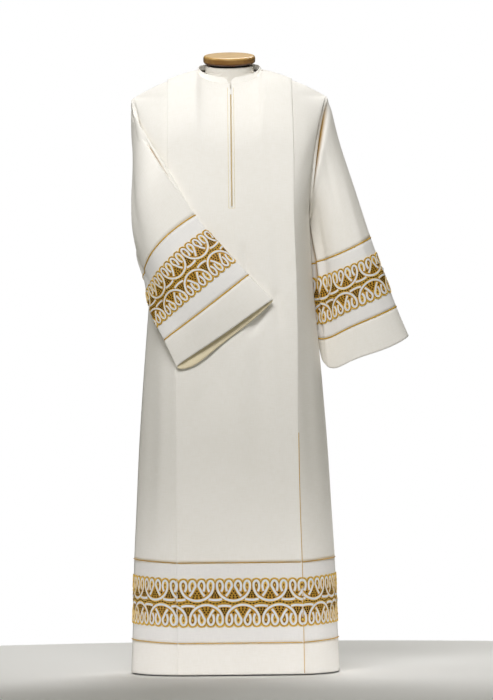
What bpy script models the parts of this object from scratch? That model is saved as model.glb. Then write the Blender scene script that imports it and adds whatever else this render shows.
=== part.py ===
"""Linen alb with lace bands, standing on a tailor's dress form.

All sizes below are in millimetres and become metres where a mesh is made.
+Z is up, the front faces -Y and +X is on the right of someone looking at the front.
The origin is on the floor, on the axis of the stand's pole.
"""

import math

import bmesh
import bpy
import numpy as np
from mathutils import Matrix, Vector

MM = 0.001

# Cloth.
WALL = 1.4
SEAM_GAP = 0.3
SLEEVE_SEAM_GAP = 0.4
SEAM_PLANE = 0.25  # how far front and back keep from the plane of the side seams
LAYER = 2.4  # from the middle of one pleat layer to the next
PLEAT_RETURN = 30.0
PLEAT_EASE = 3.0  # how far inside the fold the side panel starts to bend away

# Levels of the body.
HEM_Z = 3.5
LOWER_CORD_Z = 81.0
UPPER_CORD_Z = 281.0
ARMPIT_Z = 1147.0

# Armhole: an upright oval that leans out towards its top.
ARMPIT_X = 195.0
SHOULDER_X = 240.0
SHOULDER_Z = 1437.0
ARMHOLE_HALF_DEPTH = 80.0
ARMHOLE_LEAN = 1.7
SLEEVE_GAP = 1.5
SLEEVE_HEAD = {"out": 5.0, "down": 4.0}  # a sleeve first runs straight out of its armhole

# Neck edge of the body, under the neckband.
NECK_X = 80.0
NECK_SIDE_Z = 1506.0
NECK_FRONT = {"y": 64.0, "z": 1469.0, "rounding": 0.8}
NECK_BACK = {"y": 60.0, "z": 1509.0, "rounding": 0.6}
SHOULDER_SLOPE = 0.21
SHOULDER_DROOP = 0.00138
DOME_HEIGHT = 170.0  # how far below the shoulder line the cloth reaches its full depth

# Plan of the body, a row for each height.
# height, half width, pleat fold on the left and right, depth of front and back, fullness of the side
BODY = (
    (0.0, 260.0, 143.0, 170.0, 195.0, 186.0, 0.62),
    (120.0, 255.0, 143.0, 169.0, 192.0, 182.0, 0.60),
    (280.0, 250.0, 143.0, 167.0, 187.0, 174.0, 0.55),
    (400.0, 243.5, 143.0, 164.0, 180.0, 166.0, 0.48),
    (560.0, 235.0, 142.0, 162.0, 169.0, 156.0, 0.38),
    (720.0, 223.5, 142.0, 162.0, 161.0, 146.0, 0.34),
    (860.0, 212.0, 144.0, 163.0, 154.0, 136.0, 0.34),
    (1000.0, 200.5, 148.0, 161.0, 148.0, 127.0, 0.36),
    (1147.0, 195.0, 152.0, 157.0, 142.0, 120.0, 0.40),
    (1290.0, 195.0, 155.0, 158.0, 135.0, 115.0, 0.40),
    (1437.0, 195.0, 155.0, 155.0, 130.0, 110.0, 0.40),
)
SIDE_RISE = ((0.0, 0.0), (81.0, 5.0), (281.0, 6.0), (700.0, 0.0))  # height, rise at the side seam
CENTRE_BOW = 6.0
TOP_FOLD_X = 155.0

# Columns across half a panel: to the neck edge's corner, to the pleat fold, then on to the side.
NECK_ANGLES = tuple(math.radians(angle) for angle in (0.0, 22.5, 45.0, 67.5, 90.0))
BEYOND_NECK = 0.55  # part of the way from the neck corner to the pleat fold
SIDE_PARTS = (0.10, 0.28, 0.46, 0.64, 0.82, 1.0)
BODICE_HEIGHTS = (400.0, 560.0, 720.0, 860.0, 960.0, 1060.0, 1147.0)
YOKE_STEPS = 8

# Zip, in the slit at the centre front.
ZIP_X = 3.0
SLIT_WIDTH = 2.0
SLIT_CUTTER = {"front_y": -180.0, "back_y": -30.0, "top_z": 1561.0}
ZIP_BOTTOM_Z = 1161.0
TAPE_INNER_X = 1.0
TAPE_OUTER_X = 12.0
TAPE_WALL = 1.0
TAPE_GAP = 0.6  # under the bodice, which bends more than the tape
SLIDER_Z = 1450.0
SLIDER = {"plate": 6.4, "length": 9.0, "neck": 1.2, "thickness": 1.5}
TAB = {"width": 4.4, "length": 15.0, "thickness": 1.0, "barrel": 0.9, "above_middle": 2.0}

# Neckband.
BAND_TOP = {"x": 76.0, "front_y": 60.0, "back_y": 55.0, "front_z": 1485.0, "side_z": 1514.0, "back_z": 1525.0}
BAND_OPEN = {"bottom": 3.0, "top": 15.0}

# Sleeves: a row for each section, from the armhole out to the cuff edge.
# part of the sleeve, upper edge x y z, lower edge x y z, front bulge x y z, back bulge x y z
SLEEVE_RIGHT = (
    ("sleeve", (272, -4, 1325), (203, -3, 1100), (0, -75, 0), (0, 72, 0)),
    ("sleeve", (308, -8, 1210), (206, -6, 1058), (0, -68, -4), (0, 64, 0)),
    ("lace", (348, -12, 1083), (208, -9, 1020), (0, -60, -8), (0, 56, 0)),
    ("lace", (379, -15, 997), (215, -12, 925), (0, -55, -12), (0, 51, 0)),
    ("cuff", (410, -18, 910), (223, -15, 829), (0, -51, -16), (0, 47, 0)),
    ("end", (440, -20, 837), (236, -16, 768), (-4, -48, -24), (0, 44, 8)),
)
# The left sleeve swings forward round its armhole: its front half lies next to the body.
SLEEVE_LEFT = (
    ("sleeve", (-244, -24, 1410), (-207, 10, 1118), (6, -81, -2), (-12, 67, -2)),
    ("sleeve", (-233, -66, 1382), (-216, 12, 1096), (10, -65, 0), (-18, 19, 0)),
    ("sleeve", (-204, -110, 1332), (-222, 6, 1074), (6, -46, 0), (-30, -38, 0)),
    ("sleeve", (-161, -150, 1264), (-226, -14, 1034), (-12, -14, 0), (-38, -60, 0)),
    ("lace", (-88, -158, 1141), (-217, -64, 983), (-24, -34, 0), (-34, -58, 0)),
    ("lace", (-26, -162, 1068), (-202, -122, 905), (-6, -25, 0), (-10, -46, 0)),
    ("cuff", (43, -168, 992), (-168, -166, 832), (4, -2, -6), (0, -30, 0)),
    ("end", (103, -170, 929), (-138, -172, 766), (12, 5, -18), (0, -26, 0)),
)
RING_POINTS = 24

# Dress form.
FORM_SHOULDER_DROP = 8.1  # below the outside of the cloth at the shoulder line
FORM_CLEARANCE = 4.0  # behind the outside of the cloth, near the shoulder line
FORM_NECK_EASE = {"drop": 5.0, "inward": 6.0, "over": 15.0}  # more room beside the neck
FORM_STUMP_X = 178.0
FORM_STUMP_ROUNDING = 2.0
FORM_LEAST_DEPTH = 2.0
# height, half width, depth to the front, depth to the back
FORM = (
    (790.0, 120.0, 88.0, 84.0),
    (800.0, 142.0, 100.0, 96.0),
    (860.0, 150.0, 106.0, 102.0),
    (960.0, 138.0, 100.0, 92.0),
    (1060.0, 124.0, 92.0, 82.0),
    (1160.0, 138.0, 102.0, 88.0),
    (1260.0, 160.0, 106.0, 92.0),
    (1340.0, 174.0, 103.0, 92.0),
    (1400.0, 178.0, 100.0, 90.0),
)
FORM_RISE_HEIGHTS = (1425.0, 1445.0, 1462.0, 1476.0, 1486.0, 1492.0, 1496.0)
FORM_NECK = {"x": 60.0, "y": 50.0, "low_z": 1501.0, "low_lean": 0.3, "top_z": 1516.0}
NECK_TILT = math.radians(9.5)
CAP = {"radius": 65.0, "thickness": 20.0, "rounding": 6.0, "z": 1532.0}
SPACER_RADIUS = 50.0
POLE_RADIUS = 12.5
POLE_BOTTOM_Z = 46.3
# radius, height
BASE = ((145.0, 0.0), (145.0, 8.0), (141.0, 12.0), (32.0, 14.0), (24.0, 20.0), (20.0, 46.0))
SIDES = 32

FRONT, BACK = -1.0, 1.0
LEFT, RIGHT = -1.0, 1.0


# ---------------------------------------------------------------- materials and objects

def material(name, colour, roughness, metallic=0.0):
    made = bpy.data.materials.get(name) or bpy.data.materials.new(name)
    made.use_nodes = True
    shader = made.node_tree.nodes["Principled BSDF"]
    shader.inputs["Base Color"].default_value = (*colour, 1.0)
    shader.inputs["Roughness"].default_value = roughness
    shader.inputs["Metallic"].default_value = metallic
    return made


def linen():
    return material("linen", (0.86, 0.82, 0.74), 0.85)


def white_linen():
    return material("white_linen", (0.84, 0.82, 0.78), 0.85)


def zip_tape_cloth():
    return material("zip_tape_cloth", (0.78, 0.72, 0.62), 0.8)


def zip_metal():
    return material("zip_metal", (0.80, 0.79, 0.76), 0.3, 1.0)


def jersey():
    return material("jersey", (0.83, 0.81, 0.77), 0.9)


def wood():
    return material("wood", (0.50, 0.27, 0.10), 0.4)


def black_felt():
    return material("black_felt", (0.03, 0.03, 0.03), 0.9)


def steel():
    return material("steel", (0.42, 0.42, 0.43), 0.35, 1.0)


def add_object(name, mesh, made_of, smooth=40.0):
    mesh.materials.append(made_of)
    mesh.shade_smooth()
    mesh.set_sharp_from_angle(angle=math.radians(smooth))
    made = bpy.data.objects.new(name, mesh)
    bpy.context.scene.collection.objects.link(made)
    return made


def mesh_from(name, points, faces):
    mesh = bpy.data.meshes.new(name)
    mesh.from_pydata([Vector(point) * MM for point in points], [], faces)
    mesh.validate()
    return mesh


def wall_object(name, outside, inside, made_of, ring=False):
    """A closed wall between two grids of points, rows of the same length."""
    rows, columns = len(outside), len(outside[0])
    points = [point for grid in (outside, inside) for row in grid for point in row]
    shift = rows * columns

    def at(row, column):
        return row * columns + column % columns

    faces = []
    for row in range(rows - 1):
        for column in range(columns if ring else columns - 1):
            # Both sides are split along the same diagonal, so that a twisted wall doesn't cross itself.
            a, b = at(row, column), at(row, column + 1)
            c, d = at(row + 1, column + 1), at(row + 1, column)
            faces += [(a, b, c), (a, c, d)]
            faces += [(shift + c, shift + b, shift + a), (shift + d, shift + c, shift + a)]
    for row in (0, rows - 1):
        for column in range(columns if ring else columns - 1):
            # Both ends are split along the same diagonal, so that neighbours stay apart where they twist.
            a, b = at(row, column), at(row, column + 1)
            faces.append((a, shift + a, shift + b, b) if row == 0 else (a, b, shift + b, shift + a))
    if not ring:
        for column in (0, columns - 1):
            for row in range(rows - 1):
                a, b = at(row, column), at(row + 1, column)
                edge = (a, b, shift + b, shift + a)
                faces.append(edge if column == 0 else tuple(reversed(edge)))
    mesh = mesh_from(name, points, faces)
    tidy_normals(mesh)
    return add_object(name, mesh, made_of)


def tidy_normals(mesh):
    work = bmesh.new()
    work.from_mesh(mesh)
    bmesh.ops.recalc_face_normals(work, faces=work.faces)
    work.to_mesh(mesh)
    work.free()


# ---------------------------------------------------------------- shape of the body

def body_value(height, column):
    return float(np.interp(height, [row[0] for row in BODY], [row[column] for row in BODY]))


def half_width(height):
    """From the centre to the side seam, or to the armhole above the armpit."""
    if height <= ARMPIT_Z:
        return body_value(height, 1)
    part = min(1.0, (height - ARMPIT_Z) / (SHOULDER_Z - ARMPIT_Z))
    return ARMPIT_X + (SHOULDER_X - ARMPIT_X) * part ** ARMHOLE_LEAN


def fold_x(height, side):
    return body_value(height, 2 if side == LEFT else 3)


def armhole_depth(height):
    middle = (ARMPIT_Z + SHOULDER_Z) / 2
    part = (height - middle) / (middle - ARMPIT_Z)
    return ARMHOLE_HALF_DEPTH * math.sqrt(max(0.0, 1 - part * part))


def neck_part(x):
    return math.sqrt(max(0.0, 1 - (x / NECK_X) ** 2))


def top_height(x, face):
    """Height of the shoulder line, or of the neck edge nearer the centre."""
    if abs(x) >= NECK_X:
        out = abs(x) - NECK_X
        return NECK_SIDE_Z - SHOULDER_SLOPE * out - SHOULDER_DROOP * out * out
    neck = NECK_FRONT if face == FRONT else NECK_BACK
    return neck["z"] + (NECK_SIDE_Z - neck["z"]) * (1 - neck_part(x))


def domed_depth(x, height, face):
    """Depth of the centre panel: full low down, drawn in to the neck and the shoulder line."""
    neck = NECK_FRONT if face == FRONT else NECK_BACK
    near_neck = neck_part(x)
    full = body_value(height, 4 if face == FRONT else 5)
    full += CENTRE_BOW * (1 - min(1.0, abs(x) / TOP_FOLD_X) ** 2)
    below = min(1.0, max(0.0, top_height(x, face) - height) / DOME_HEIGHT)
    power = 0.5 + (neck["rounding"] - 0.5) * near_neck
    reach = (1 - (1 - below) ** 2) ** power
    return neck["y"] * near_neck + (full - neck["y"] * near_neck) * reach


def depth(x, height, face, side):
    """Depth of the cloth from the plane of the side seams, without the pleat layers."""
    fold = fold_x(height, side)
    if abs(x) <= fold:
        return domed_depth(x, height, face)
    edge = half_width(height)
    edge_depth = armhole_depth(height) if height > ARMPIT_Z else 0.0
    part = min(1.0, (abs(x) - fold) / (edge - fold))
    fullness = body_value(height, 6)
    shape = (1 - fullness) * (1 - part) + fullness * math.sqrt(max(0.0, 1 - part * part))
    return edge_depth + (domed_depth(x, height, face) - edge_depth) * shape


def tilt(x, height, face, side):
    """How far the cloth leans back from upright, in radians."""
    step = 1.0
    change = depth(x, height - step, face, side) - depth(x, height, face, side)
    return math.atan2(max(0.0, change), step)


def side_rise(height, x, side):
    rise = np.interp(height, [row[0] for row in SIDE_RISE], [row[1] for row in SIDE_RISE])
    fold = fold_x(height, side)
    return rise * min(1.0, max(0.0, (x - fold) / (half_width(height) - fold)))


def half_row_path(height, side):
    """Distance from the centre and depth under the panel, from the centre out through the pleat."""
    fold = fold_x(height, side)
    edge = half_width(height)
    turn = LAYER / 2
    neck_columns = [NECK_X * math.sin(angle) for angle in NECK_ANGLES]
    columns = neck_columns + [NECK_X + (TOP_FOLD_X - NECK_X) * BEYOND_NECK]
    path = [(x / TOP_FOLD_X * fold, 0.0) for x in columns]
    path += [(fold - turn, 0.0), (fold, turn), (fold - turn, LAYER)]
    inner = fold - PLEAT_RETURN
    path += [(inner, LAYER), (inner - turn, 1.5 * LAYER), (inner, 2 * LAYER), (fold - PLEAT_EASE, 2 * LAYER)]
    path += [(fold + part * (edge - fold), 2 * LAYER * (1 - part)) for part in SIDE_PARTS]
    return path


def offset_sides(points):
    """Points on both sides of a line drawn in plan, half a wall away from it."""
    sides = []
    count = len(points)
    for index, point in enumerate(points):
        before = points[max(0, index - 1)]
        after = points[min(count - 1, index + 1)]
        first = (point - before).normalized() if index else (after - point).normalized()
        second = (after - point).normalized() if index < count - 1 else first
        normal = Vector((-first.y - second.y, first.x + second.x)).normalized()
        cosine = max(0.6, normal.dot(Vector((-first.y, first.x))))
        reach = WALL / 2 / cosine
        sides.append((point + normal * reach, point - normal * reach))
    return sides


def row_heights(height, step, side, face):
    """The height of each point of a row; above the armpit the rows fan out to the shoulder line."""
    path = half_row_path(ARMPIT_Z if step == 0 else height, side)
    if step == 0:
        return [height] * len(path)
    top_path = half_row_path(SHOULDER_Z, side)
    rise = (1 - math.cos(math.pi * step / YOKE_STEPS)) / 2
    return [ARMPIT_Z + rise * (top_height(x, face) - ARMPIT_Z) for x, _ in top_path]


def half_row(height, step, side, face):
    """Both faces of the wall along half a row, from the centre to the side."""
    heights = row_heights(height, step, side, face)
    plan, bases = [], []
    for index, row_height in enumerate(heights):
        x, under = half_row_path(row_height, side)[index]
        base = depth(x, row_height, face, side)
        plan.append(Vector((x, -base + under)))
        bases.append((x, row_height, base))
    at_side = step == 0
    at_top = step == YOKE_STEPS
    result = []
    for index, pair in enumerate(offset_sides(plan)):
        x_base, row_height, base = bases[index]
        lean = math.pi / 2 if at_top and x_base >= NECK_X else tilt(x_base, row_height, face, side)
        made = []
        for corner in pair:
            x, inward = corner.x, corner.y + base
            if index == 0:
                x = 0.0
            if index == len(bases) - 1 and at_side:
                x = x_base + (WALL / 2 if corner.y < plan[index].y or corner.x > x_base else -WALL / 2)
                inward = 0.0
            forward = base - inward * math.cos(lean)
            if at_top or at_side:
                forward = max(forward, SEAM_PLANE)
            if at_top and x_base >= NECK_X:
                forward = SEAM_PLANE
            height_here = row_height + side_rise(row_height, x, side) - inward * math.sin(lean)
            made.append(Vector((side * x, face * forward, height_here)))
        result.append(made)
    return result


def body_grids(rows, face):
    """Outside and inside grids of a panel, from its left side to its right side."""
    outside, inside = [], []
    for height, step in rows:
        left = half_row(height, step, LEFT, face)
        right = half_row(height, step, RIGHT, face)
        whole = list(reversed(left[1:])) + right
        outside.append([pair[1] for pair in whole])
        inside.append([pair[0] for pair in whole])
    return outside, inside


def body_panel(name, face, rows, made_of):
    outside, inside = body_grids(rows, face)
    return wall_object(name, outside, inside, made_of)


def body_pieces():
    half_gap = SEAM_GAP / 2
    bodice = [(UPPER_CORD_Z + half_gap, 0)]
    bodice += [(height, 0) for height in BODICE_HEIGHTS]
    bodice += [(0.0, step) for step in range(1, YOKE_STEPS + 1)]
    band = (LOWER_CORD_Z + half_gap, (LOWER_CORD_Z + UPPER_CORD_Z) / 2, UPPER_CORD_Z - half_gap)
    hem = (HEM_Z, LOWER_CORD_Z - half_gap)
    for word, face in (("front", FRONT), ("back", BACK)):
        panel = body_panel(f"{word}_bodice", face, bodice, linen())
        if face == FRONT:
            cut_slit(panel)
        body_panel(f"{word}_lace_band", face, [(height, 0) for height in band], white_linen())
        body_panel(f"{word}_hem_band", face, [(height, 0) for height in hem], linen())


# ---------------------------------------------------------------- zip

def cut_slit(panel):
    """The slit that the zip closes, cut by a thin block."""
    mesh = bpy.data.meshes.new("slit_cutter")
    work = bmesh.new()
    bmesh.ops.create_cube(work, size=1.0)
    low = Vector((ZIP_X - SLIT_WIDTH / 2, SLIT_CUTTER["front_y"], ZIP_BOTTOM_Z)) * MM
    high = Vector((ZIP_X + SLIT_WIDTH / 2, SLIT_CUTTER["back_y"], SLIT_CUTTER["top_z"])) * MM
    place = Matrix.LocRotScale((low + high) / 2, None, high - low)
    bmesh.ops.transform(work, matrix=place, verts=work.verts)
    work.to_mesh(mesh)
    work.free()
    cutter = bpy.data.objects.new("slit_cutter", mesh)
    bpy.context.scene.collection.objects.link(cutter)
    cutter.hide_render = True
    cutter.display_type = "WIRE"
    cut = panel.modifiers.new("slit", "BOOLEAN")
    cut.object = cutter
    cut.operation = "DIFFERENCE"
    cut.solver = "EXACT"


def centre_point(height, x, inward):
    """A point of the centre front between the first two columns, this far in from mid cloth."""
    second = NECK_X * math.sin(NECK_ANGLES[1]) / TOP_FOLD_X * fold_x(height, RIGHT)
    near, far = depth(0.0, height, FRONT, RIGHT), depth(second, height, FRONT, RIGHT)
    lean = tilt(0.0, height, FRONT, RIGHT)
    y = -(near + (far - near) * abs(x) / second) + inward * math.cos(lean)
    return Vector((x, y, height - inward * math.sin(lean)))


def centre_heights():
    """Heights of the bodice's rows at the centre front, from the armpit's row to the last under the neck."""
    rises = [(1 - math.cos(math.pi * step / YOKE_STEPS)) / 2 for step in range(YOKE_STEPS)]
    return [ARMPIT_Z + rise * (NECK_FRONT["z"] - ARMPIT_Z) for rise in rises]


def front_frame(height):
    """The point at this height on the run between the last two rows, and how that run leans."""
    low, high = (centre_point(z, ZIP_X, 0.0) for z in centre_heights()[-2:])
    place = low.lerp(high, (height - low.z) / (high.z - low.z))
    return place, math.atan2(high.y - low.y, high.z - low.z)


def zip_tapes():
    outer = WALL / 2 + TAPE_GAP
    for word, side in (("left", LEFT), ("right", RIGHT)):
        across = [ZIP_X + side * x for x in (TAPE_INNER_X, TAPE_OUTER_X)]
        outside = [[centre_point(z, x, outer) for x in across] for z in centre_heights()]
        inside = [[centre_point(z, x, outer + TAPE_WALL) for x in across] for z in centre_heights()]
        wall_object(f"zip_tape_{word}", outside, inside, zip_tape_cloth())


def extruded(name, outline, from_z, to_z):
    """A closed prism over an outline in X and Y."""
    count = len(outline)
    points = [(x, y, z) for z in (from_z, to_z) for x, y in outline]
    faces = [tuple(range(count)), tuple(range(count, 2 * count))]
    faces += [(i, (i + 1) % count, count + (i + 1) % count, count + i) for i in range(count)]
    mesh = mesh_from(name, points, faces)
    tidy_normals(mesh)
    return mesh


def zip_slider():
    """Two plates either side of the cloth and tapes, on one neck through the slit."""
    place, lean = front_frame(SLIDER_Z)
    half, neck = SLIDER["plate"] / 2, SLIDER["neck"] / 2
    clear = WALL / 2 + SEAM_GAP
    front_in = -clear
    front_out = front_in - SLIDER["thickness"]
    back_in = WALL / 2 + TAPE_GAP + TAPE_WALL + SEAM_GAP
    back_out = back_in + SLIDER["thickness"]
    outline = [(-half, front_out), (half, front_out), (half, front_in), (neck, front_in)]
    outline += [(neck, back_in), (half, back_in), (half, back_out), (-half, back_out)]
    outline += [(-half, back_in), (-neck, back_in), (-neck, front_in), (-half, front_in)]
    length = SLIDER["length"]
    made = add_object("zip_slider", extruded("zip_slider", outline, -length / 2, length / 2), zip_metal())
    made.location = place * MM
    made.rotation_euler = (-lean, 0.0, 0.0)
    return front_out


def zip_pull_tab(front_out):
    """A flat tab with a rolled top, which turns about that roll."""
    place, lean = front_frame(SLIDER_Z)
    radius = TAB["barrel"]
    away = front_out - SEAM_GAP - radius
    outline = []
    for step in range(9):
        angle = math.pi * (step / 8)
        outline.append((radius * math.cos(angle), radius * math.sin(angle)))
    half = TAB["thickness"] / 2
    outline += [(-half, -TAB["length"]), (half, -TAB["length"])]
    mesh = extruded("zip_pull_tab", outline, -TAB["width"] / 2, TAB["width"] / 2)
    # The outline is drawn in X and Y and turned so that its length runs along Z.
    mesh.transform(Matrix(((0, 0, 1, 0), (1, 0, 0, 0), (0, 1, 0, 0), (0, 0, 0, 1))))
    made = add_object("zip_pull_tab", mesh, zip_metal())
    turn = Matrix.Rotation(-lean, 4, "X")
    made.location = (place + turn @ Vector((0.0, away, TAB["above_middle"]))) * MM
    made.rotation_euler = (-lean, 0.0, 0.0)


# ---------------------------------------------------------------- neckband

def band_point(angle, up, inward):
    """A point of the neckband: angle 0 at the centre front, up from 0 to 1."""
    sine, cosine = math.sin(angle), math.cos(angle)
    at_front = cosine > 0
    neck = NECK_FRONT if at_front else NECK_BACK
    low = Vector((NECK_X * sine, -neck["y"] * cosine, 0.0))
    low.z = neck["z"] + (NECK_SIDE_Z - neck["z"]) * (1 - abs(cosine))
    top_y = BAND_TOP["front_y"] if at_front else BAND_TOP["back_y"]
    side_z = BAND_TOP["side_z"]
    end_z = BAND_TOP["front_z"] if at_front else BAND_TOP["back_z"]
    high = Vector((BAND_TOP["x"] * sine, -top_y * cosine, side_z + (end_z - side_z) * abs(cosine)))
    toward_middle = Vector((-sine, cosine, 0.0))
    return low.lerp(high, up) + toward_middle * inward + Vector((0.0, 0.0, SEAM_GAP + WALL)) * (1 - up)


def neckband():
    outside, inside = [], []
    for up in (0.0, 0.5, 1.0):
        opening = BAND_OPEN["bottom"] + (BAND_OPEN["top"] - BAND_OPEN["bottom"]) * up
        quarter = [*NECK_ANGLES, *(math.pi - angle for angle in reversed(NECK_ANGLES[:-1]))]
        half = [math.asin(opening / NECK_X), *quarter[1:]]
        angles = half + [2 * math.pi - angle for angle in reversed(half[:-1])]
        outside.append([band_point(angle, up, -WALL / 2) for angle in angles])
        inside.append([band_point(angle, up, WALL / 2) for angle in angles])
    wall_object("neckband", outside, inside, linen())


# ---------------------------------------------------------------- sleeves

def armhole_ring(side):
    """The sleeve's first ring, just outside the edge of the body's armhole."""
    middle = (ARMPIT_Z + SHOULDER_Z) / 2
    ring = []
    for step in range(RING_POINTS):
        angle = 2 * math.pi * step / RING_POINTS
        z = middle + (SHOULDER_Z - middle) * math.cos(angle)
        x = half_width(z) + SLEEVE_GAP
        ring.append(Vector((side * x, -ARMHOLE_HALF_DEPTH * math.sin(angle), z)))
    return ring


def section_ring(row):
    """A section: a bowed lens from its upper to its lower edge, through its front and back bulge."""
    _, upper, lower, front, back = row
    upper, lower, front, back = (Vector(point) for point in (upper, lower, front, back))
    middle, reach = (upper + lower) / 2, (upper - lower) / 2
    bow, thick = (front + back) / 2, (front - back) / 2
    ring = []
    for step in range(RING_POINTS):
        angle = 2 * math.pi * step / RING_POINTS
        sine = math.sin(angle)
        ring.append(middle + reach * math.cos(angle) + bow * sine * sine + thick * sine)
    return ring


def smooth_between(before, first, second, after, part):
    """A Catmull-Rom step between two rings."""
    ring = []
    for a, b, c, d in zip(before, first, second, after):
        curve = (2 * a - 5 * b + 4 * c - d) * part ** 2 + (3 * b - a - 3 * c + d) * part ** 3
        ring.append((2 * b + (c - a) * part + curve) / 2)
    return ring


def tube_sides(rings, side):
    """The outer and the inner face of a wall through the rings, half a wall either way."""
    outside, inside = [], []
    last = len(rings) - 1
    for level, ring in enumerate(rings):
        ahead, behind = rings[min(last, level + 1)], rings[max(0, level - 1)]
        outer, inner = [], []
        for index, point in enumerate(ring):
            after, before = ring[(index + 1) % len(ring)], ring[index - 1]
            along = (after - point).normalized() + (point - before).normalized()
            normal = side * along.cross(ahead[index] - behind[index]).normalized()
            outer.append(point + normal * WALL / 2)
            inner.append(point - normal * WALL / 2)
        outside.append(outer)
        inside.append(inner)
    return outside, inside


def moved_along(row, rings, level, distance):
    """Points of a ring's wall, moved along the sleeve."""
    pairs = zip(row, rings[level - 1], rings[level + 1])
    return [point + (ahead - behind).normalized() * distance for point, behind, ahead in pairs]


def cut_out(grid, rings, first, end):
    """Rows of a grid, cut back half a gap where they meet the next piece."""
    rows = [list(row) for row in grid[first:end + 1]]
    if first > 0:
        rows[0] = moved_along(grid[first], rings, first, SLEEVE_SEAM_GAP / 2)
    if end < len(grid) - 1:
        rows[-1] = moved_along(grid[end], rings, end, -SLEEVE_SEAM_GAP / 2)
    return rows


def sleeve(word, side, table):
    head = Vector((side * SLEEVE_HEAD["out"], 0.0, -SLEEVE_HEAD["down"]))
    armhole = armhole_ring(side)
    rings = [armhole, [point + head for point in armhole]]
    rings += [section_ring(row) for row in table]
    parts = ["sleeve", "sleeve"] + [row[0] for row in table]
    last = len(rings) - 1
    fine, starts = [armhole], {"sleeve": 0}
    for index in range(1, last):
        starts.setdefault(parts[index], len(fine))
        after = rings[min(last, index + 2)]
        for half in (0.0, 0.5):
            fine.append(smooth_between(rings[index - 1], rings[index], rings[index + 1], after, half))
    fine.append(rings[last])
    outside, inside = tube_sides(fine, side)
    ends = {"sleeve": starts["lace"], "lace": starts["cuff"], "cuff": len(fine) - 1}
    names = {"sleeve": "sleeve", "lace": "sleeve_lace_band", "cuff": "sleeve_cuff"}
    for part, end in ends.items():
        first = starts[part]
        made_of = white_linen() if part == "lace" else linen()
        outer, inner = (cut_out(grid, fine, first, end) for grid in (outside, inside))
        wall_object(f"{word}_{names[part]}", outer, inner, made_of, ring=True)


# ---------------------------------------------------------------- dress form

def form_value(height, column):
    return float(np.interp(height, [row[0] for row in FORM], [row[column] for row in FORM]))


def form_ring(height):
    """A level ring of the torso; near the shoulders it follows the shoulder line of the cloth."""
    ring = []
    shoulder_level = height > FORM[-1][0]
    if shoulder_level:
        reach = max((x for x in np.arange(NECK_X, FORM_STUMP_X, 0.5)
                     if top_height(x, FRONT) - FORM_SHOULDER_DROP > height), default=NECK_X)
    for step in range(SIDES):
        angle = 2 * math.pi * step / SIDES
        sine, cosine = math.sin(angle), math.cos(angle)
        face_column = 2 if sine < 0 else 3
        if not shoulder_level:
            x = form_value(height, 1) * cosine
            y = form_value(height, face_column) * sine
        else:
            x = reach * cosine
            ridge = top_height(max(abs(x), NECK_X), FRONT) - FORM_SHOULDER_DROP
            below = min(1.0, max(0.0, ridge - height) / DOME_HEIGHT)
            dome = form_value(FORM[-1][0], face_column) * math.sqrt(1 - (1 - below) ** 2)
            near_neck = min(1.0, max(0.0, 1 - (abs(x) - NECK_X) / FORM_NECK_EASE["over"]))
            cloth_above = height + FORM_SHOULDER_DROP + FORM_NECK_EASE["drop"] * near_neck
            under_cloth = domed_depth(x, cloth_above, FRONT if sine < 0 else BACK)
            under_cloth -= FORM_CLEARANCE + FORM_NECK_EASE["inward"] * near_neck
            dome = min(dome, under_cloth)
            neck = FORM_NECK["y"] * math.sqrt(max(0.0, 1 - (x / FORM_NECK["x"]) ** 2))
            at_stump = reach > FORM_STUMP_X - FORM_STUMP_ROUNDING
            rounding = math.sqrt(max(0.0, 1 - (x / reach) ** 2)) if at_stump else 1.0
            y = math.copysign(max(dome * rounding, neck, FORM_LEAST_DEPTH * abs(sine)), sine)
        ring.append(Vector((x, y, height)))
    return ring


def neck_ring(height, lean_part):
    ring = []
    for step in range(SIDES):
        angle = 2 * math.pi * step / SIDES
        x = FORM_NECK["x"] * math.cos(angle)
        y = FORM_NECK["y"] * math.sin(angle)
        ring.append(Vector((x, y, height + y * math.tan(NECK_TILT) * lean_part)))
    return ring


def solid_of_rings(name, rings, made_of, smooth=40.0):
    count = len(rings[0])
    points = [point for ring in rings for point in ring]
    faces = [tuple(range(count)), tuple(range(len(points) - count, len(points)))]
    for level in range(len(rings) - 1):
        for step in range(count):
            a, b = level * count + step, level * count + (step + 1) % count
            faces.append((a, b, b + count, a + count))
    mesh = mesh_from(name, points, faces)
    tidy_normals(mesh)
    return add_object(name, mesh, made_of, smooth)


def form_torso():
    rings = [form_ring(row[0]) for row in FORM]
    rings += [form_ring(height) for height in FORM_RISE_HEIGHTS]
    rings.append(neck_ring(FORM_NECK["low_z"], FORM_NECK["low_lean"]))
    rings.append(neck_ring(FORM_NECK["top_z"], 1.0))
    solid_of_rings("form_torso", rings, jersey(), 50.0)


def turned(name, profile, made_of, smooth=40.0):
    """A solid turned about Z from its radii and heights, listed upwards."""
    rings = []
    for radius, height in profile:
        angles = [2 * math.pi * step / SIDES for step in range(SIDES)]
        rings.append([Vector((radius * math.cos(a), radius * math.sin(a), height)) for a in angles])
    return solid_of_rings(name, rings, made_of, smooth)


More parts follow.
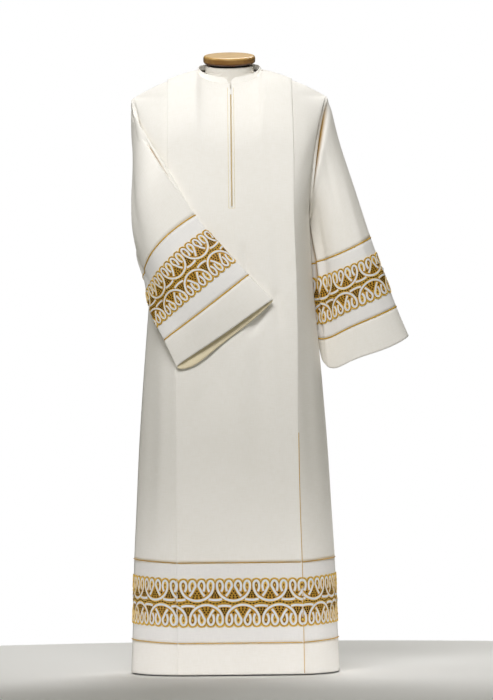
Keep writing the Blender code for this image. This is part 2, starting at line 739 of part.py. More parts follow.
def form_cap():
    """Turned wooden disc with rounded edges, and the dark spacer under it, both tilted forward."""
    half, edge = CAP["thickness"] / 2, CAP["rounding"]
    quarter = [math.pi / 2 * step / 4 for step in range(5)]
    flat = CAP["radius"] - edge
    lower = [(flat + edge * math.sin(a), -half + edge - edge * math.cos(a)) for a in quarter]
    upper = [(flat + edge * math.cos(a), half - edge + edge * math.sin(a)) for a in quarter]
    cap = turned("form_neck_cap", lower + upper, wood())
    neck_top = FORM_NECK["top_z"] + SEAM_GAP
    cap_bottom = CAP["z"] - half / math.cos(NECK_TILT) - SEAM_GAP
    thickness = (cap_bottom - neck_top) * math.cos(NECK_TILT)
    spacer = turned("form_neck_spacer", [(SPACER_RADIUS, 0.0), (SPACER_RADIUS, thickness)], black_felt())
    for made, height in ((cap, CAP["z"]), (spacer, neck_top)):
        made.location = Vector((0.0, 0.0, height)) * MM
        made.rotation_euler = (NECK_TILT, 0.0, 0.0)


def form_stand():
    turned("form_base", BASE, steel())
    pole = [(POLE_RADIUS, POLE_BOTTOM_Z), (POLE_RADIUS, FORM[0][0] - SEAM_GAP)]
    turned("form_pole", pole, steel())


# ---------------------------------------------------------------- all of it

def main():
    for old in list(bpy.data.objects):
        bpy.data.objects.remove(old)
    body_pieces()
    zip_tapes()
    front_out = zip_slider()
    zip_pull_tab(front_out)
    neckband()
    sleeve("left", LEFT, SLEEVE_LEFT)
    sleeve("right", RIGHT, SLEEVE_RIGHT)
    form_torso()
    form_cap()
    form_stand()


main()
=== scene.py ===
"""An alb with lace bands on a tailor's dress form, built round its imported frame.

The tables hold millimetres in the frame's own axes: +Z is up and the front faces -Y.
"""

import math

import bmesh
import bpy
import numpy as np
from bpy.props import FloatProperty, FloatVectorProperty, PointerProperty
from mathutils import Matrix, Vector


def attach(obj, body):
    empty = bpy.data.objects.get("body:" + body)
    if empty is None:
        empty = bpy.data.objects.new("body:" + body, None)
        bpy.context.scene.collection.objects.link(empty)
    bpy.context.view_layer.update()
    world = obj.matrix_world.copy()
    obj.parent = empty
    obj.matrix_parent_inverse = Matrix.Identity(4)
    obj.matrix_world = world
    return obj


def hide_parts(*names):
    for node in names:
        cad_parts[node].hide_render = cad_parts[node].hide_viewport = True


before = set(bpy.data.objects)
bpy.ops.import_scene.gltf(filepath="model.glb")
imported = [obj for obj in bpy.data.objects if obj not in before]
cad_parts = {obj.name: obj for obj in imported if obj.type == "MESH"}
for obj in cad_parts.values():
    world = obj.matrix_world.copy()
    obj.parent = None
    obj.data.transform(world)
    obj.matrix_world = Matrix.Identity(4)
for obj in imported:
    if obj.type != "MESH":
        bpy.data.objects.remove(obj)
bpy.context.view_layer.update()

bl_info = {
    "name": "Alb on a dress form",
    "version": (1, 0, 0),
    "blender": (4, 5, 0),
    "location": "3D View > Sidebar > Alb",
    "description": "Builds a linen alb with lace bands, its dress form and its studio",
    "category": "Object",
}

MM = 0.001
ROOT = "alb_and_form"
FRONT, BACK = -1.0, 1.0  # which way y runs out of the cloth
LEFT, RIGHT = -1.0, 1.0  # which way x runs out of the cloth
NAMES = {FRONT: "front", BACK: "back"}

# Pleats beside the centre panel.
LAYER = 2.4  # from the middle of one layer to the next
PLEAT_RETURN = 30.0  # how far a pleat runs back under the centre panel
PLEAT_EASE = 3.0  # the side panel's start keeps this far inside the fold
CENTRE_COLUMNS, SIDE_COLUMNS = 30, 25  # points across half the centre panel, and across a side panel
# Painted shade: a thin gold tube down the right front pleat's edge stands for the shadow line in the pleat.
PLEAT_SHADOW_START = 2.0  # above the hem's edge
PLEAT_SHADOW_TOP_Z = 600.0
PLEAT_SHADOW_RADIUS = 0.8

# Levels of the body.
HEM_Z = 3.5
LOWER_CORD_Z = 81.0
UPPER_CORD_Z = 281.0
ARMPIT_Z = 1147.0
SEAM_PLANE = 0.25  # how far front and back keep from the plane of the side seams

# Armhole: an upright oval that leans out towards its top.
ARMPIT_X = 195.0
SHOULDER_X = 240.0
SHOULDER_Z = 1437.0
ARMHOLE_HALF_DEPTH = 80.0
ARMHOLE_LEAN = 1.7  # above 1, the lean comes mostly near the top
UNDERARM = (-90.0, 110.0)  # the cloth inside the side seam fills out between these, from the armpit
SLEEVE_GAP = 1.5  # from the armhole's edge out to the sleeve's first ring
SLEEVE_HEAD = (5.0, 0.0, -4.0)  # from the first ring to the second: outwards, back and up
SEAM_RADIUS = 1.1  # of the soft roll where two pieces are sewn together

# Neck edge of the body.
NECK_X = 80.0
NECK_Y = {FRONT: 64.0, BACK: 60.0}
NECK_Z = {FRONT: 1469.0, BACK: 1509.0}
NECK_ROUNDING = {FRONT: 0.8, BACK: 0.6}  # how steeply the panel below it comes in
NECK_SIDE_Z = 1506.0
SHOULDER_SLOPE = 0.21  # fall for each millimetre out from the neck
SHOULDER_DROOP = 0.00138  # further fall for each square millimetre
DOME_HEIGHT = 170.0  # below its top edge, the centre panel is drawn in over this height
CENTRE_BOW = 6.0  # the centre panel's middle stands out by this
TOP_FOLD_X = 155.0  # where that bow has run out

# Height, half width, pleat fold on the left and right, depth of front and back, fullness of the side.
BODY = np.array((
    (0.0, 260.0, 143.0, 170.0, 195.0, 186.0, 0.62),
    (120.0, 255.0, 143.0, 169.0, 192.0, 182.0, 0.60),
    (280.0, 250.0, 143.0, 167.0, 187.0, 174.0, 0.55),
    (400.0, 243.5, 143.0, 164.0, 180.0, 166.0, 0.48),
    (560.0, 235.0, 142.0, 162.0, 169.0, 156.0, 0.38),
    (720.0, 223.5, 142.0, 162.0, 161.0, 146.0, 0.34),
    (860.0, 212.0, 144.0, 163.0, 154.0, 136.0, 0.34),
    (1000.0, 200.5, 148.0, 161.0, 148.0, 127.0, 0.36),
    (1147.0, 195.0, 152.0, 157.0, 142.0, 120.0, 0.40),
    (1290.0, 195.0, 155.0, 158.0, 135.0, 115.0, 0.40),
    (1437.0, 195.0, 155.0, 155.0, 130.0, 110.0, 0.40),
))
SIDE_ROUNDNESS = 0.2  # more fullness, where soft cloth bends less sharply at the pleat
HALF_WIDTH, LEFT_FOLD, RIGHT_FOLD, FRONT_DEPTH, BACK_DEPTH, FULLNESS = range(1, 7)
SIDE_RISE = ((0.0, LOWER_CORD_Z, UPPER_CORD_Z, 700.0), (0.0, 5.0, 6.0, 0.0))  # heights, rise at the side seam

# Zip, in the slit at the centre front.
ZIP_X = 3.0
SLIT_WIDTH = 3.0
ZIP_BOTTOM_Z = 1161.0
STITCH_OUT = 7.5  # from the zip to the line of stitches beside it
STITCH_SPACING = 3.4  # length of a stitch and the space after it
STITCH_SHARE = 0.78  # of that, the stitch itself
ZIP_TOP_Z = 1466.0
SLIDER_BOTTOM_Z = 1446.0
COIL_RADIUS = 1.5
COIL_TURNS = (1.6, 0.3)  # spacing of the coil's turns, and how deep the grooves between them are
COIL_DEPTH = 0.4  # from the middle of the cloth back to the middle of the coil
LIP_RADIUS = 0.9
TAPE_OUTER_X = 12.0
TAPE_THICKNESS = 0.9
TAPE_BEHIND = 1.1  # from the inside of the cloth to the middle of the tape

# Top edge of the neckband: half width, depth of front and back, height of front, back and side.
BAND_TOP_X = 76.0
BAND_TOP_Y = {FRONT: 60.0, BACK: 55.0}
BAND_TOP_Z = {FRONT: 1485.0, BACK: 1525.0}
BAND_SIDE_Z = 1514.0
BAND_OPEN = (3.0, 16.0)  # half the opening at the seam and at the top
BAND_CLEAR = 0.6  # its lower edge stands on the body's neck edge with this gap
BAND_ROWS, BAND_COLUMNS = 12, 130

# Where a sleeve's section may bulge at its low corner, in degrees from its upper edge over the front.
CORNER_ANGLE, CORNER_WIDTH = 140.0, 32.0
# Sections of the sleeves, down to the cuff's edge: upper edge, lower edge, bulge of the front and back
# half, and of the low corner.
RIGHT_SLEEVE = (
    ((272, -4, 1325), (192, 28, 1112), (0, -75, 0), (0, 56, 0), (-2, 20, 0)),
    ((308, -8, 1210), (197, 38, 1060), (0, -72, -4), (0, 46, 0), (-2, 22, 0)),
    ((348, -12, 1083), (200, 42, 1018), (0, -68, -6), (0, 34, 0), (0, 14, 2)),
    ((379, -15, 997), (206, 44, 925), (0, -64, -6), (0, 28, 0), (0, 6, -6)),
    ((410, -18, 910), (213, 44, 836), (0, -60, -6), (0, 24, 0), (3, -2, -9)),
    ((440, -20, 837), (222, 38, 792), (-4, -56, -26), (0, 24, 4), (4, -4, -26)),
)
LEFT_SLEEVE = (
    ((-244, -24, 1410), (-207, 10, 1118), (6, -81, -2), (-12, 67, -2)),
    ((-233, -66, 1382), (-216, 12, 1096), (10, -65, 0), (-18, 19, 0)),
    ((-204, -110, 1332), (-222, 6, 1074), (6, -46, 0), (-30, -38, 0)),
    ((-161, -150, 1264), (-226, -14, 1034), (-12, -14, 0), (-38, -60, 0)),
    ((-88, -158, 1141), (-217, -64, 983), (-24, -34, 0), (-34, -58, 0)),
    ((-26, -162, 1068), (-202, -122, 905), (-6, -25, 0), (-10, -46, 0)),
    ((43, -168, 992), (-168, -166, 832), (4, -2, -6), (0, -24, 0)),
    ((103, -170, 929), (-138, -172, 766), (8, 4, -13), (0, -9, 0), (8, 0, -11)),
)
# Which rings the lace band and the cuff start from; the armhole's own two are 0 and 1.
LACE_SECTION = {RIGHT: 4, LEFT: 6}
CUFF_SECTION = {RIGHT: 6, LEFT: 8}
RING_POINTS = 120
HEAD_STEPS = 26  # down to the first section, where the folds under the arm are narrow
SECTION_STEPS = 10
# Painted shade: troughs deeper than the first depth are painted darker and golden in the linen's colour,
# fully so at the second.
PAINTED_SHADE_DEPTHS = (3.5, 10.0)  # where the warm shade of a fold starts, and where it is full


# ---------------------------------------------------------------- creases of the cloth

# Each crease: a point, another point, how far its middle bows to the side, its width and its height.
# On the body the points are distance from the centre and height.
FRONT_CREASES = (
    ((-95, 1300), (-120, 700), 10, 26, 2.5),
    ((-40, 1120), (-60, 420), -12, 30, -3.5),
    ((66, 1060), (58, 520), 10, 30, -5.0),
    ((10, 900), (16, 300), 6, 34, 3.0),
    ((120, 1180), (128, 620), -6, 18, -2.0),
    ((-178, 900), (-196, 330), 8, 16, 4.0),
    ((-200, 800), (-214, 300), 6, 12, -3.0),
    ((184, 1000), (200, 420), -8, 14, -4.0),
    ((205, 760), (222, 200), 6, 16, 4.0),
    ((-210, 1330), (-165, 1190), 6, 12, -3.0),
    ((222, 1350), (176, 1180), -6, 12, -3.0),
    ((-150, 250), (-148, 20), 2, 9, -2.0),
    ((26, 1075), (46, 935), 3, 11, -6.5),
    ((112, 960), (117, 850), 3, 12, -6.0),
    ((34, 838), (84, 905), -3, 11, -6.5),
)
BACK_CREASES = (
    ((-80, 1350), (-105, 650), 14, 32, -3.0),
    ((60, 1300), (90, 500), -12, 34, -3.0),
    ((-20, 1000), (-35, 350), 8, 36, 2.5),
    ((110, 1100), (120, 500), 6, 22, 2.0),
    ((-185, 950), (-205, 300), 8, 16, 4.0),
    ((190, 900), (210, 260), -8, 16, 4.0),
    ((150, 1390), (60, 1330), 8, 16, -3.0),
    ((-150, 1390), (-60, 1330), -8, 16, -3.0),
)
# On the sleeves they are degrees round from the upper edge, over the front, and distance from the armhole.
# Troughs deeper than 3.5 mm on the sleeves are also painted darker and golden in the linen's colour, as
# shade.
RIGHT_CREASES = (
    # Deep, so that its painted shade darkens the valley round the armhole.
    ((12, 12), (152, 34), -6, 12, -14.0),
    ((195, 14), (345, 14), 4, 9, -5.0),
    ((138, 40), (150, 560), 4, 9, 5.0),
    ((116, 50), (128, 470), -5, 12, -4.0),
    ((156, 40), (150, 470), 0, 16, -10.0),
    ((70, 30), (96, 300), 6, 16, -3.0),
    ((40, 120), (52, 480), -6, 18, 3.0),
    ((240, 60), (225, 500), 8, 16, -4.0),
    ((290, 40), (300, 460), -8, 18, 3.5),
)
LEFT_CREASES = (
    ((195, 14), (345, 14), 4, 9, -4.0),
    ((15, 14), (165, 14), -4, 9, -4.0),
    # Deep, so that its painted shade draws a dark golden line along the sleeve's upper edge, beside the body.
    ((343, -15), (350, 260), 2, 6, -11.0),
    ((300, 40), (252, 280), 10, 16, -3.5),
    ((275, 30), (232, 230), -8, 18, 3.0),
    ((214, 150), (224, 350), 6, 10, -5.0),
    ((200, 120), (206, 330), -4, 9, 4.0),
    ((255, 330), (262, 560), 4, 22, 2.5),
    ((60, 40), (100, 330), 10, 18, -4.0),
)
DEGREE = 1.8  # about how many millimetres round a sleeve one degree is


# ---------------------------------------------------------------- colours, nodes and meshes

SHARP_ANGLE = 60.0  # degrees between faces at which an edge shows


def linear(hex_colour):
    """An sRGB hex colour as the linear values that a shader takes."""
    values = []
    for start in (1, 3, 5):
        value = int(hex_colour[start:start + 2], 16) / 255
        values.append(value / 12.92 if value <= 0.04045 else ((value + 0.055) / 1.055) ** 2.4)
    return (*values, 1.0)


def add_node(tree, kind, inputs=(), **settings):
    """Adds a node. An input is a value, or the node and the name of the output it is linked to."""
    node = tree.nodes.new(kind)
    for name, value in settings.items():
        setattr(node, name, value)
    for socket, value in inputs:
        if isinstance(value, tuple) and isinstance(value[0], bpy.types.Node):
            tree.links.new(value[0].outputs[value[1]], node.inputs[socket])
        else:
            node.inputs[socket].default_value = value
    return node


def new_material(name, colour, roughness, **sockets):
    """A material with its shader's uniform values."""
    made = bpy.data.materials.new(name)
    made.use_nodes = True
    shader = made.node_tree.nodes["Principled BSDF"]
    shader.inputs["Base Color"].default_value = colour
    shader.inputs["Roughness"].default_value = roughness
    for socket, value in sockets.items():
        shader.inputs[socket.replace("_", " ")].default_value = value
    made.diffuse_color = colour
    return made, made.node_tree, shader


def new_piece(name, points, faces, materials, face_materials=None, threads=None):
    """An object from points in millimetres. threads gives each point's place in the cloth."""
    mesh = bpy.data.meshes.new(name)
    mesh.from_pydata((np.asarray(points, float) * MM).tolist(), [], [tuple(face) for face in faces])
    for made_of in materials:
        mesh.materials.append(made_of)
    if face_materials is not None:
        mesh.polygons.foreach_set("material_index", np.asarray(face_materials, np.int32))
    if threads is not None:
        corners = np.empty(len(mesh.loops), np.int32)
        mesh.loops.foreach_get("vertex_index", corners)
        layer = mesh.uv_layers.new(name="threads")
        layer.data.foreach_set("uv", (np.asarray(threads, float)[corners] * MM).ravel())
    mesh.shade_smooth()
    mesh.set_sharp_from_angle(angle=math.radians(SHARP_ANGLE))
    made = bpy.data.objects.new(name, mesh)
    bpy.context.scene.collection.objects.link(made)
    return made


def between(a, b, c, d, part):
    """A point this share of the way from b to c, on the smooth curve through all four."""
    curve = (2 * a - 5 * b + 4 * c - d) * part ** 2 + (3 * b - a - 3 * c + d) * part ** 3
    return (2 * b + (c - a) * part + curve) / 2


def grid_faces(rows, columns, ring=False):
    """Quads of a grid, one row after the other."""
    first = np.arange(columns if ring else columns - 1)
    after = (first + 1) % columns
    low = np.arange(rows - 1)[:, None] * columns
    quads = np.stack((low + first, low + after, low + columns + after, low + columns + first), axis=-1)
    return quads.reshape(-1, 4)


# ---------------------------------------------------------------- cloth on a grid

class Cloth:
    """The middle surface of a piece of cloth, as rows of points from its bottom or its armhole."""

    def __init__(self, points, ring=False, flip=False, folds=None):
        self.ring = ring
        self.folds = folds
        self.flip = flip
        self.points = points
        self.rows, self.columns = points.shape[:2]
        middle = points[self.rows // 2]
        steps = np.linalg.norm(np.roll(middle, -1, axis=0) - middle, axis=1)
        self.across = np.concatenate(([0.0], np.cumsum(steps[:-1])))
        self.round = self.across[-1] + steps[-1]
        gaps = np.linalg.norm(np.diff(points, axis=0), axis=2).mean(axis=1)
        self.along = np.concatenate(([0.0], np.cumsum(gaps)))
        self.normals = self.find_normals()

    def find_normals(self):
        """Which way is out of the cloth at each point."""
        if self.ring:
            beside = np.roll(self.points, -1, axis=1) - np.roll(self.points, 1, axis=1)
        else:
            beside = np.gradient(self.points, axis=1)
        normals = np.cross(beside, np.gradient(self.points, axis=0))
        normals /= np.linalg.norm(normals, axis=2, keepdims=True) + 1e-9
        return -normals if self.flip else normals

    def pushed(self, heights):
        """The same cloth with each point moved out along its normal, keeping how deep each lies in a trough
        for the painted shade.
        """
        start, full = PAINTED_SHADE_DEPTHS
        # Painted shade: each point's share of the darker golden colour.
        folds = np.clip((-heights - start) / (full - start), 0.0, 1.0)
        return Cloth(self.points + self.normals * heights[..., None], self.ring, self.flip, folds)

    def part(self, first, end):
        """The rows from first to end."""
        folds = None if self.folds is None else self.folds[first:end + 1]
        return Cloth(self.points[first:end + 1], self.ring, self.flip, folds)

    def threads(self):
        """Each point's distance across and along the cloth."""
        across, along = np.meshgrid(self.across, self.along)
        return np.stack((across, along), axis=-1).reshape(-1, 2)

    def flat_area(self):
        """Area of the cloth in square millimetres."""
        beside = np.diff(self.points, axis=1)[:-1]
        up = np.diff(self.points, axis=0)[:, :-1]
        return float(np.linalg.norm(np.cross(beside, up), axis=2).sum())

    def place(self, across, along, lift):
        """Points at these distances over the cloth, and this far out from its middle surface."""
        across, along, lift = (np.asarray(value, float) for value in (across, along, lift))
        if self.ring:
            columns = np.interp(across % self.round, np.append(self.across, self.round),
                                np.arange(self.columns + 1))
        else:
            columns = np.interp(across, self.across, np.arange(self.columns))
        rows = np.interp(along, self.along, np.arange(self.rows))
        left = np.minimum(columns.astype(int), self.columns - (1 if self.ring else 2))
        low = np.minimum(rows.astype(int), self.rows - 2)
        right = (left + 1) % self.columns
        side, up = (columns - left)[..., None], (rows - low)[..., None]

        def blended(values):
            bottom = values[low, left] * (1 - side) + values[low, right] * side
            top = values[low + 1, left] * (1 - side) + values[low + 1, right] * side
            return bottom * (1 - up) + top * up

        return blended(self.points) + blended(self.normals) * lift[..., None]


def crease_heights(across, along, creases, around=None):
    """Soft ridges, or troughs where the height is less than nought.

    Each crease runs from one point to another, bowed sideways in its middle, and fades out at both ends.
    """
    heights = np.zeros(np.broadcast(across, along).shape)
    for start, end, bow, width, height in creases:
        start, end = np.array(start, float), np.array(end, float)
        length = np.linalg.norm(end - start)
        direction = (end - start) / length
        off_across = across - start[0]
        if around:
            middle = (start[0] + end[0]) / 2
            off_across = (across - middle + around / 2) % around - around / 2 + middle - start[0]
        off_along = along - start[1]
        part = np.clip((off_across * direction[0] + off_along * direction[1]) / length, 0.0, 1.0)
        beside = off_along * direction[0] - off_across * direction[1] - bow * 4 * part * (1 - part)
        # It rises and falls over its length like a sine, but is flatter in the middle.
        fade = np.sin(np.pi * np.clip(part, 0.02, 0.98)) ** 0.7
        heights += height * np.exp(-(beside / width) ** 2) * fade
    return heights


def cloth_piece(name, cloth, made_of, thickness, dropped=None, wrong_side=None):
    """A thin shell on the cloth's middle surface; its wrong side may have a finish of its own."""
    faces = grid_faces(cloth.rows, cloth.columns, cloth.ring)
    if dropped is not None:
        faces = faces[~dropped]
    if cloth.flip:
        faces = faces[:, ::-1]
    finishes = [made_of, wrong_side] if wrong_side else [made_of]
    made = new_piece(name, cloth.points.reshape(-1, 3), faces, finishes, threads=cloth.threads())
    # Painted shade: each point's share of the darker golden colour in deep troughs, which the linen's finish
    # reads.
    if cloth.folds is not None:
        folds = made.data.attributes.new("fold", "FLOAT", "POINT")
        folds.data.foreach_set("value", cloth.folds.ravel())
    shell = made.modifiers.new("thickness", "SOLIDIFY")
    shell.thickness = thickness
    shell.offset = 0.0
    shell.use_even_offset = False
    shell.material_offset = len(finishes) - 1
    return made


# ---------------------------------------------------------------- shape of the body

def body_value(height, column):
    """A value of the table at any height, smoothly between its rows."""
    heights, values = BODY[:, 0], BODY[:, column]
    slopes = np.gradient(values, heights)
    row = np.clip(np.searchsorted(heights, height, side="right") - 1, 0, len(heights) - 2)
    step = heights[row + 1] - heights[row]
    part = np.clip((height - heights[row]) / step, 0.0, 1.0)
    square, cube = part * part, part ** 3
    return (values[row] * (2 * cube - 3 * square + 1) + values[row + 1] * (3 * square - 2 * cube)
            + step * (slopes[row] * (cube - 2 * square + part) + slopes[row + 1] * (cube - square)))


def half_width(height):
    """From the centre to the side seam, or to the armhole above the armpit."""
    part = np.clip((height - ARMPIT_Z) / (SHOULDER_Z - ARMPIT_Z), 0.0, 1.0)
    above = ARMPIT_X + (SHOULDER_X - ARMPIT_X) * part ** ARMHOLE_LEAN
    return np.where(height <= ARMPIT_Z, body_value(height, HALF_WIDTH), above)


def fold_x(height, side):
    """From the centre to the fold of the pleat."""
    return body_value(height, LEFT_FOLD if side == LEFT else RIGHT_FOLD)


def armhole_depth(height):
    """Half depth of the armhole's oval."""
    middle = (ARMPIT_Z + SHOULDER_Z) / 2
    part = (height - middle) / (middle - ARMPIT_Z)
    return ARMHOLE_HALF_DEPTH * np.sqrt(np.clip(1 - part * part, 0.0, 1.0))


def underarm_depth(height):
    """Depth just inside the side seam: it fills out gently past the armpit."""
    low, high = ARMPIT_Z + UNDERARM[0], ARMPIT_Z + UNDERARM[1]
    part = np.clip((height - low) / (high - low), 0.0, 1.0)
    filled = part * part * (3 - 2 * part) * armhole_depth(np.array(high))
    return np.where(height > high, armhole_depth(height), filled)


def neck_part(x):
    """1 at the centre, falling on an ellipse to 0 at the side of the neck."""
    return np.sqrt(np.clip(1 - (x / NECK_X) ** 2, 0.0, 1.0))


def top_height(x, face):
    """Height of the shoulder line, or of the neck edge nearer the centre."""
    out = np.maximum(np.abs(x) - NECK_X, 0.0)
    shoulder = NECK_SIDE_Z - SHOULDER_SLOPE * out - SHOULDER_DROOP * out * out
    neck = NECK_Z[face] + (NECK_SIDE_Z - NECK_Z[face]) * (1 - neck_part(x))
    return np.where(np.abs(x) >= NECK_X, shoulder, neck)


def domed_depth(x, height, face):
    """Depth of the centre panel: full low down, drawn in to the neck and the shoulder line."""
    near_neck = neck_part(x)
    neck_depth = NECK_Y[face] * near_neck
    full = body_value(height, FRONT_DEPTH if face == FRONT else BACK_DEPTH)
    full = full + CENTRE_BOW * (1 - np.minimum(1.0, np.abs(x) / TOP_FOLD_X) ** 2)
    below = np.clip((top_height(x, face) - height) / DOME_HEIGHT, 0.0, 1.0)
    reach = (1 - (1 - below) ** 2) ** (0.5 + (NECK_ROUNDING[face] - 0.5) * near_neck)
    return neck_depth + (full - neck_depth) * reach


def depth(x, height, face, side):
    """Depth of the cloth from the plane of the side seams, without the pleat's layers."""
    fold, edge = fold_x(height, side), half_width(height)
    seam_depth = np.where(height > ARMPIT_Z, armhole_depth(height), 0.0)
    centre = domed_depth(x, height, face)
    part = np.clip((x - fold) / (edge - fold), 0.0, 1.0)
    inner_depth = underarm_depth(height)
    # Only the last stretch before the edge turns in to the seam.
    edge_depth = inner_depth + (seam_depth - inner_depth) * part ** 8
    fullness = body_value(height, FULLNESS) + SIDE_ROUNDNESS
    shape = (1 - fullness) * (1 - part) + fullness * np.sqrt(1 - part * part)
    return np.where(x <= fold, centre, edge_depth + (centre - edge_depth) * shape)


def half_columns(slit=False):
    """Columns from the centre out through the pleat to the side, in four numbers each.

    They are a share of the way to the fold, a distance beyond that, a share of the way from the fold
    to the side, and the depth under the top layer.
    """
    turn = LAYER / 2
    columns = [(share, -turn * share, 0.0, 0.0) for share in np.linspace(0.0, 1.0, CENTRE_COLUMNS)]
    if slit:
        edges = [(0.0, ZIP_X + SLIT_WIDTH / 2 * way, 0.0, 0.0) for way in (-1.0, 1.0)]
        columns = [columns[0], *edges, *columns[2:]]
    # Round the outer fold, back under the panel, round the inner fold, out again and on to the side.
    for angle in np.linspace(0.0, math.pi, 7)[1:]:
        columns.append((1.0, turn * (math.sin(angle) - 1), 0.0, turn * (1 - math.cos(angle))))
    for part in (0.25, 0.6, 1.0):
        columns.append((1.0, -turn - (PLEAT_RETURN - turn) * part, 0.0, LAYER))
    for angle in np.linspace(0.0, math.pi, 5)[1:]:
        inward = LAYER + turn * (1 - math.cos(angle))
        columns.append((1.0, -PLEAT_RETURN - turn * math.sin(angle), 0.0, inward))
    for part in (0.4, 0.75, 0.92):
        columns.append((1.0, -PLEAT_RETURN + (PLEAT_RETURN - PLEAT_EASE) * part, 0.0, 2 * LAYER))
    for part in np.linspace(0.0, 1.0, SIDE_COLUMNS):
        columns.append((1.0, -PLEAT_EASE * (1 - part) ** 8, part, 2 * LAYER * (1 - part)))
    return np.array(columns)


def column_places(columns, height, side):
    """Distance from the centre of each column."""
    fold = fold_x(height, side)
    return columns[:, 0] * fold + columns[:, 1] + columns[:, 2] * (half_width(height) - fold)


def body_half(face, side, low, high, steps, above_armpit):
    """Points of half the front or back: level rows up to the armpit, and above it rows that fan out."""
    columns = half_columns(slit=face == FRONT and side == RIGHT)
    creases = FRONT_CREASES if face == FRONT else BACK_CREASES
    count = len(columns)
    part = np.linspace(0.0, 1.0, steps)[:, None]
    if above_armpit:
        rise = (1 - np.cos(np.pi * part)) / 2
        top = top_height(column_places(columns, np.full(count, SHOULDER_Z), side), face)
        height = ARMPIT_Z + rise * (top - ARMPIT_Z)
    else:
        height = low + part * (high - low) * np.ones(count)
    x = column_places(columns, height, side)
    base = depth(x, height, face, side)
    # How fast the cloth falls away here says which way its layers lie behind each other.
    fall = depth(x, height - 0.5, face, side) - depth(x, height + 0.5, face, side)
    lean = np.arctan(np.clip(fall, 0.0, 30.0))
    inward = columns[:, 3] - crease_heights(side * x, height, creases)
    forward = np.maximum(base - inward * np.cos(lean), SEAM_PLANE)
    rise = np.interp(height, *SIDE_RISE) * columns[:, 2]
    if above_armpit:
        forward[-1, x[-1] >= NECK_X] = SEAM_PLANE
    else:
        forward[:, -1] = SEAM_PLANE
    return np.stack((side * x, face * forward, height + rise - inward * np.sin(lean)), axis=-1)


def body_cloth(face, low=0.0, high=0.0, steps=2, above_armpit=False):
    """The front or the back between two heights, or above the armpit."""
    left, right = (body_half(face, side, low, high, steps, above_armpit) for side in (LEFT, RIGHT))
    return Cloth(np.concatenate((left[:, :0:-1], right), axis=1), flip=face == BACK)


# ---------------------------------------------------------------- shape of the sleeves and the neckband

def armhole_ring(side):
    """The sleeve's first ring, just outside the armhole, from its top over the front."""
    middle = (ARMPIT_Z + SHOULDER_Z) / 2
    angle = np.linspace(0.0, 2 * np.pi, RING_POINTS, endpoint=False)
    z = middle + (SHOULDER_Z - middle) * np.cos(angle)
    x = half_width(z) + SLEEVE_GAP
    return np.stack((side * x, -ARMHOLE_HALF_DEPTH * np.sin(angle), z), axis=1)


def section_ring(row):
    """A bowed lens from its upper to its lower edge, through its front and back bulge."""
    upper, lower, front, back, *corner = (np.array(point, float) for point in row)
    angle = np.linspace(0.0, 2 * np.pi, RING_POINTS, endpoint=False)[:, None]
    middle, reach = (upper + lower) / 2, (upper - lower) / 2
    bow, thick = (front + back) / 2, (front - back) / 2
    ring = middle + reach * np.cos(angle) + bow * np.sin(angle) ** 2 + thick * np.sin(angle)
    near_corner = np.exp(-((np.degrees(angle) - CORNER_ANGLE) / CORNER_WIDTH) ** 2)
    return ring + sum(near_corner * out for out in corner)


def sleeve_cloth(side, table, creases):
    """The whole sleeve, with even steps on a smooth curve between its sections."""
    armhole = armhole_ring(side)
    head = armhole + np.array(SLEEVE_HEAD) * (side, 1.0, 1.0)
    rings = [armhole, head] + [section_ring(row) for row in table]
    fine = [armhole]
    last = len(rings) - 1
    for index in range(1, last):
        a, b, c, d = rings[index - 1], rings[index], rings[index + 1], rings[min(last, index + 2)]
        steps = HEAD_STEPS if index == 1 else SECTION_STEPS
        fine += [between(a, b, c, d, part) for part in np.arange(steps) / steps]
    fine.append(rings[last])
    cloth = Cloth(np.array(fine), ring=True, flip=side == LEFT)
    around = 360 * DEGREE
    across, along = np.meshgrid(np.linspace(0.0, around, RING_POINTS, endpoint=False), cloth.along)
    creases = [((start[0] * DEGREE, start[1]), (end[0] * DEGREE, end[1]), *rest)
               for start, end, *rest in creases]
    return cloth.pushed(crease_heights(across, along, creases, around))


def sleeve_row(section):
    """The cloth's row that lies on a ring."""
    return 1 + HEAD_STEPS + (section - 2) * SECTION_STEPS


def neckband_cloth():
    """The standing band, open at the front, where its top corners are cut round."""
    up = np.linspace(0.0, 1.0, BAND_ROWS)[:, None]
    opening = BAND_OPEN[0] + (BAND_OPEN[1] - BAND_OPEN[0]) * up ** 2.5
    first = np.arcsin(opening / NECK_X)
    angle = first + (2 * np.pi - 2 * first) * np.linspace(0.0, 1.0, BAND_COLUMNS)
    sine, cosine = np.sin(angle), np.cos(angle)

    def edge(side_x, depths, heights, side_z):
        y = np.where(cosine > 0, depths[FRONT], depths[BACK])
        z = np.where(cosine > 0, heights[FRONT], heights[BACK])
        return np.stack((side_x * sine, -y * cosine, z + (side_z - z) * (1 - np.abs(cosine))), axis=-1)

    low = edge(NECK_X, NECK_Y, NECK_Z, NECK_SIDE_Z)
    high = edge(BAND_TOP_X, BAND_TOP_Y, BAND_TOP_Z, BAND_SIDE_Z)
    points = low + (high - low) * up[..., None]
    points[..., 2] += BAND_CLEAR * (1 - up)
    return Cloth(points, flip=True)


# ---------------------------------------------------------------- trims: cords, stitches and lace

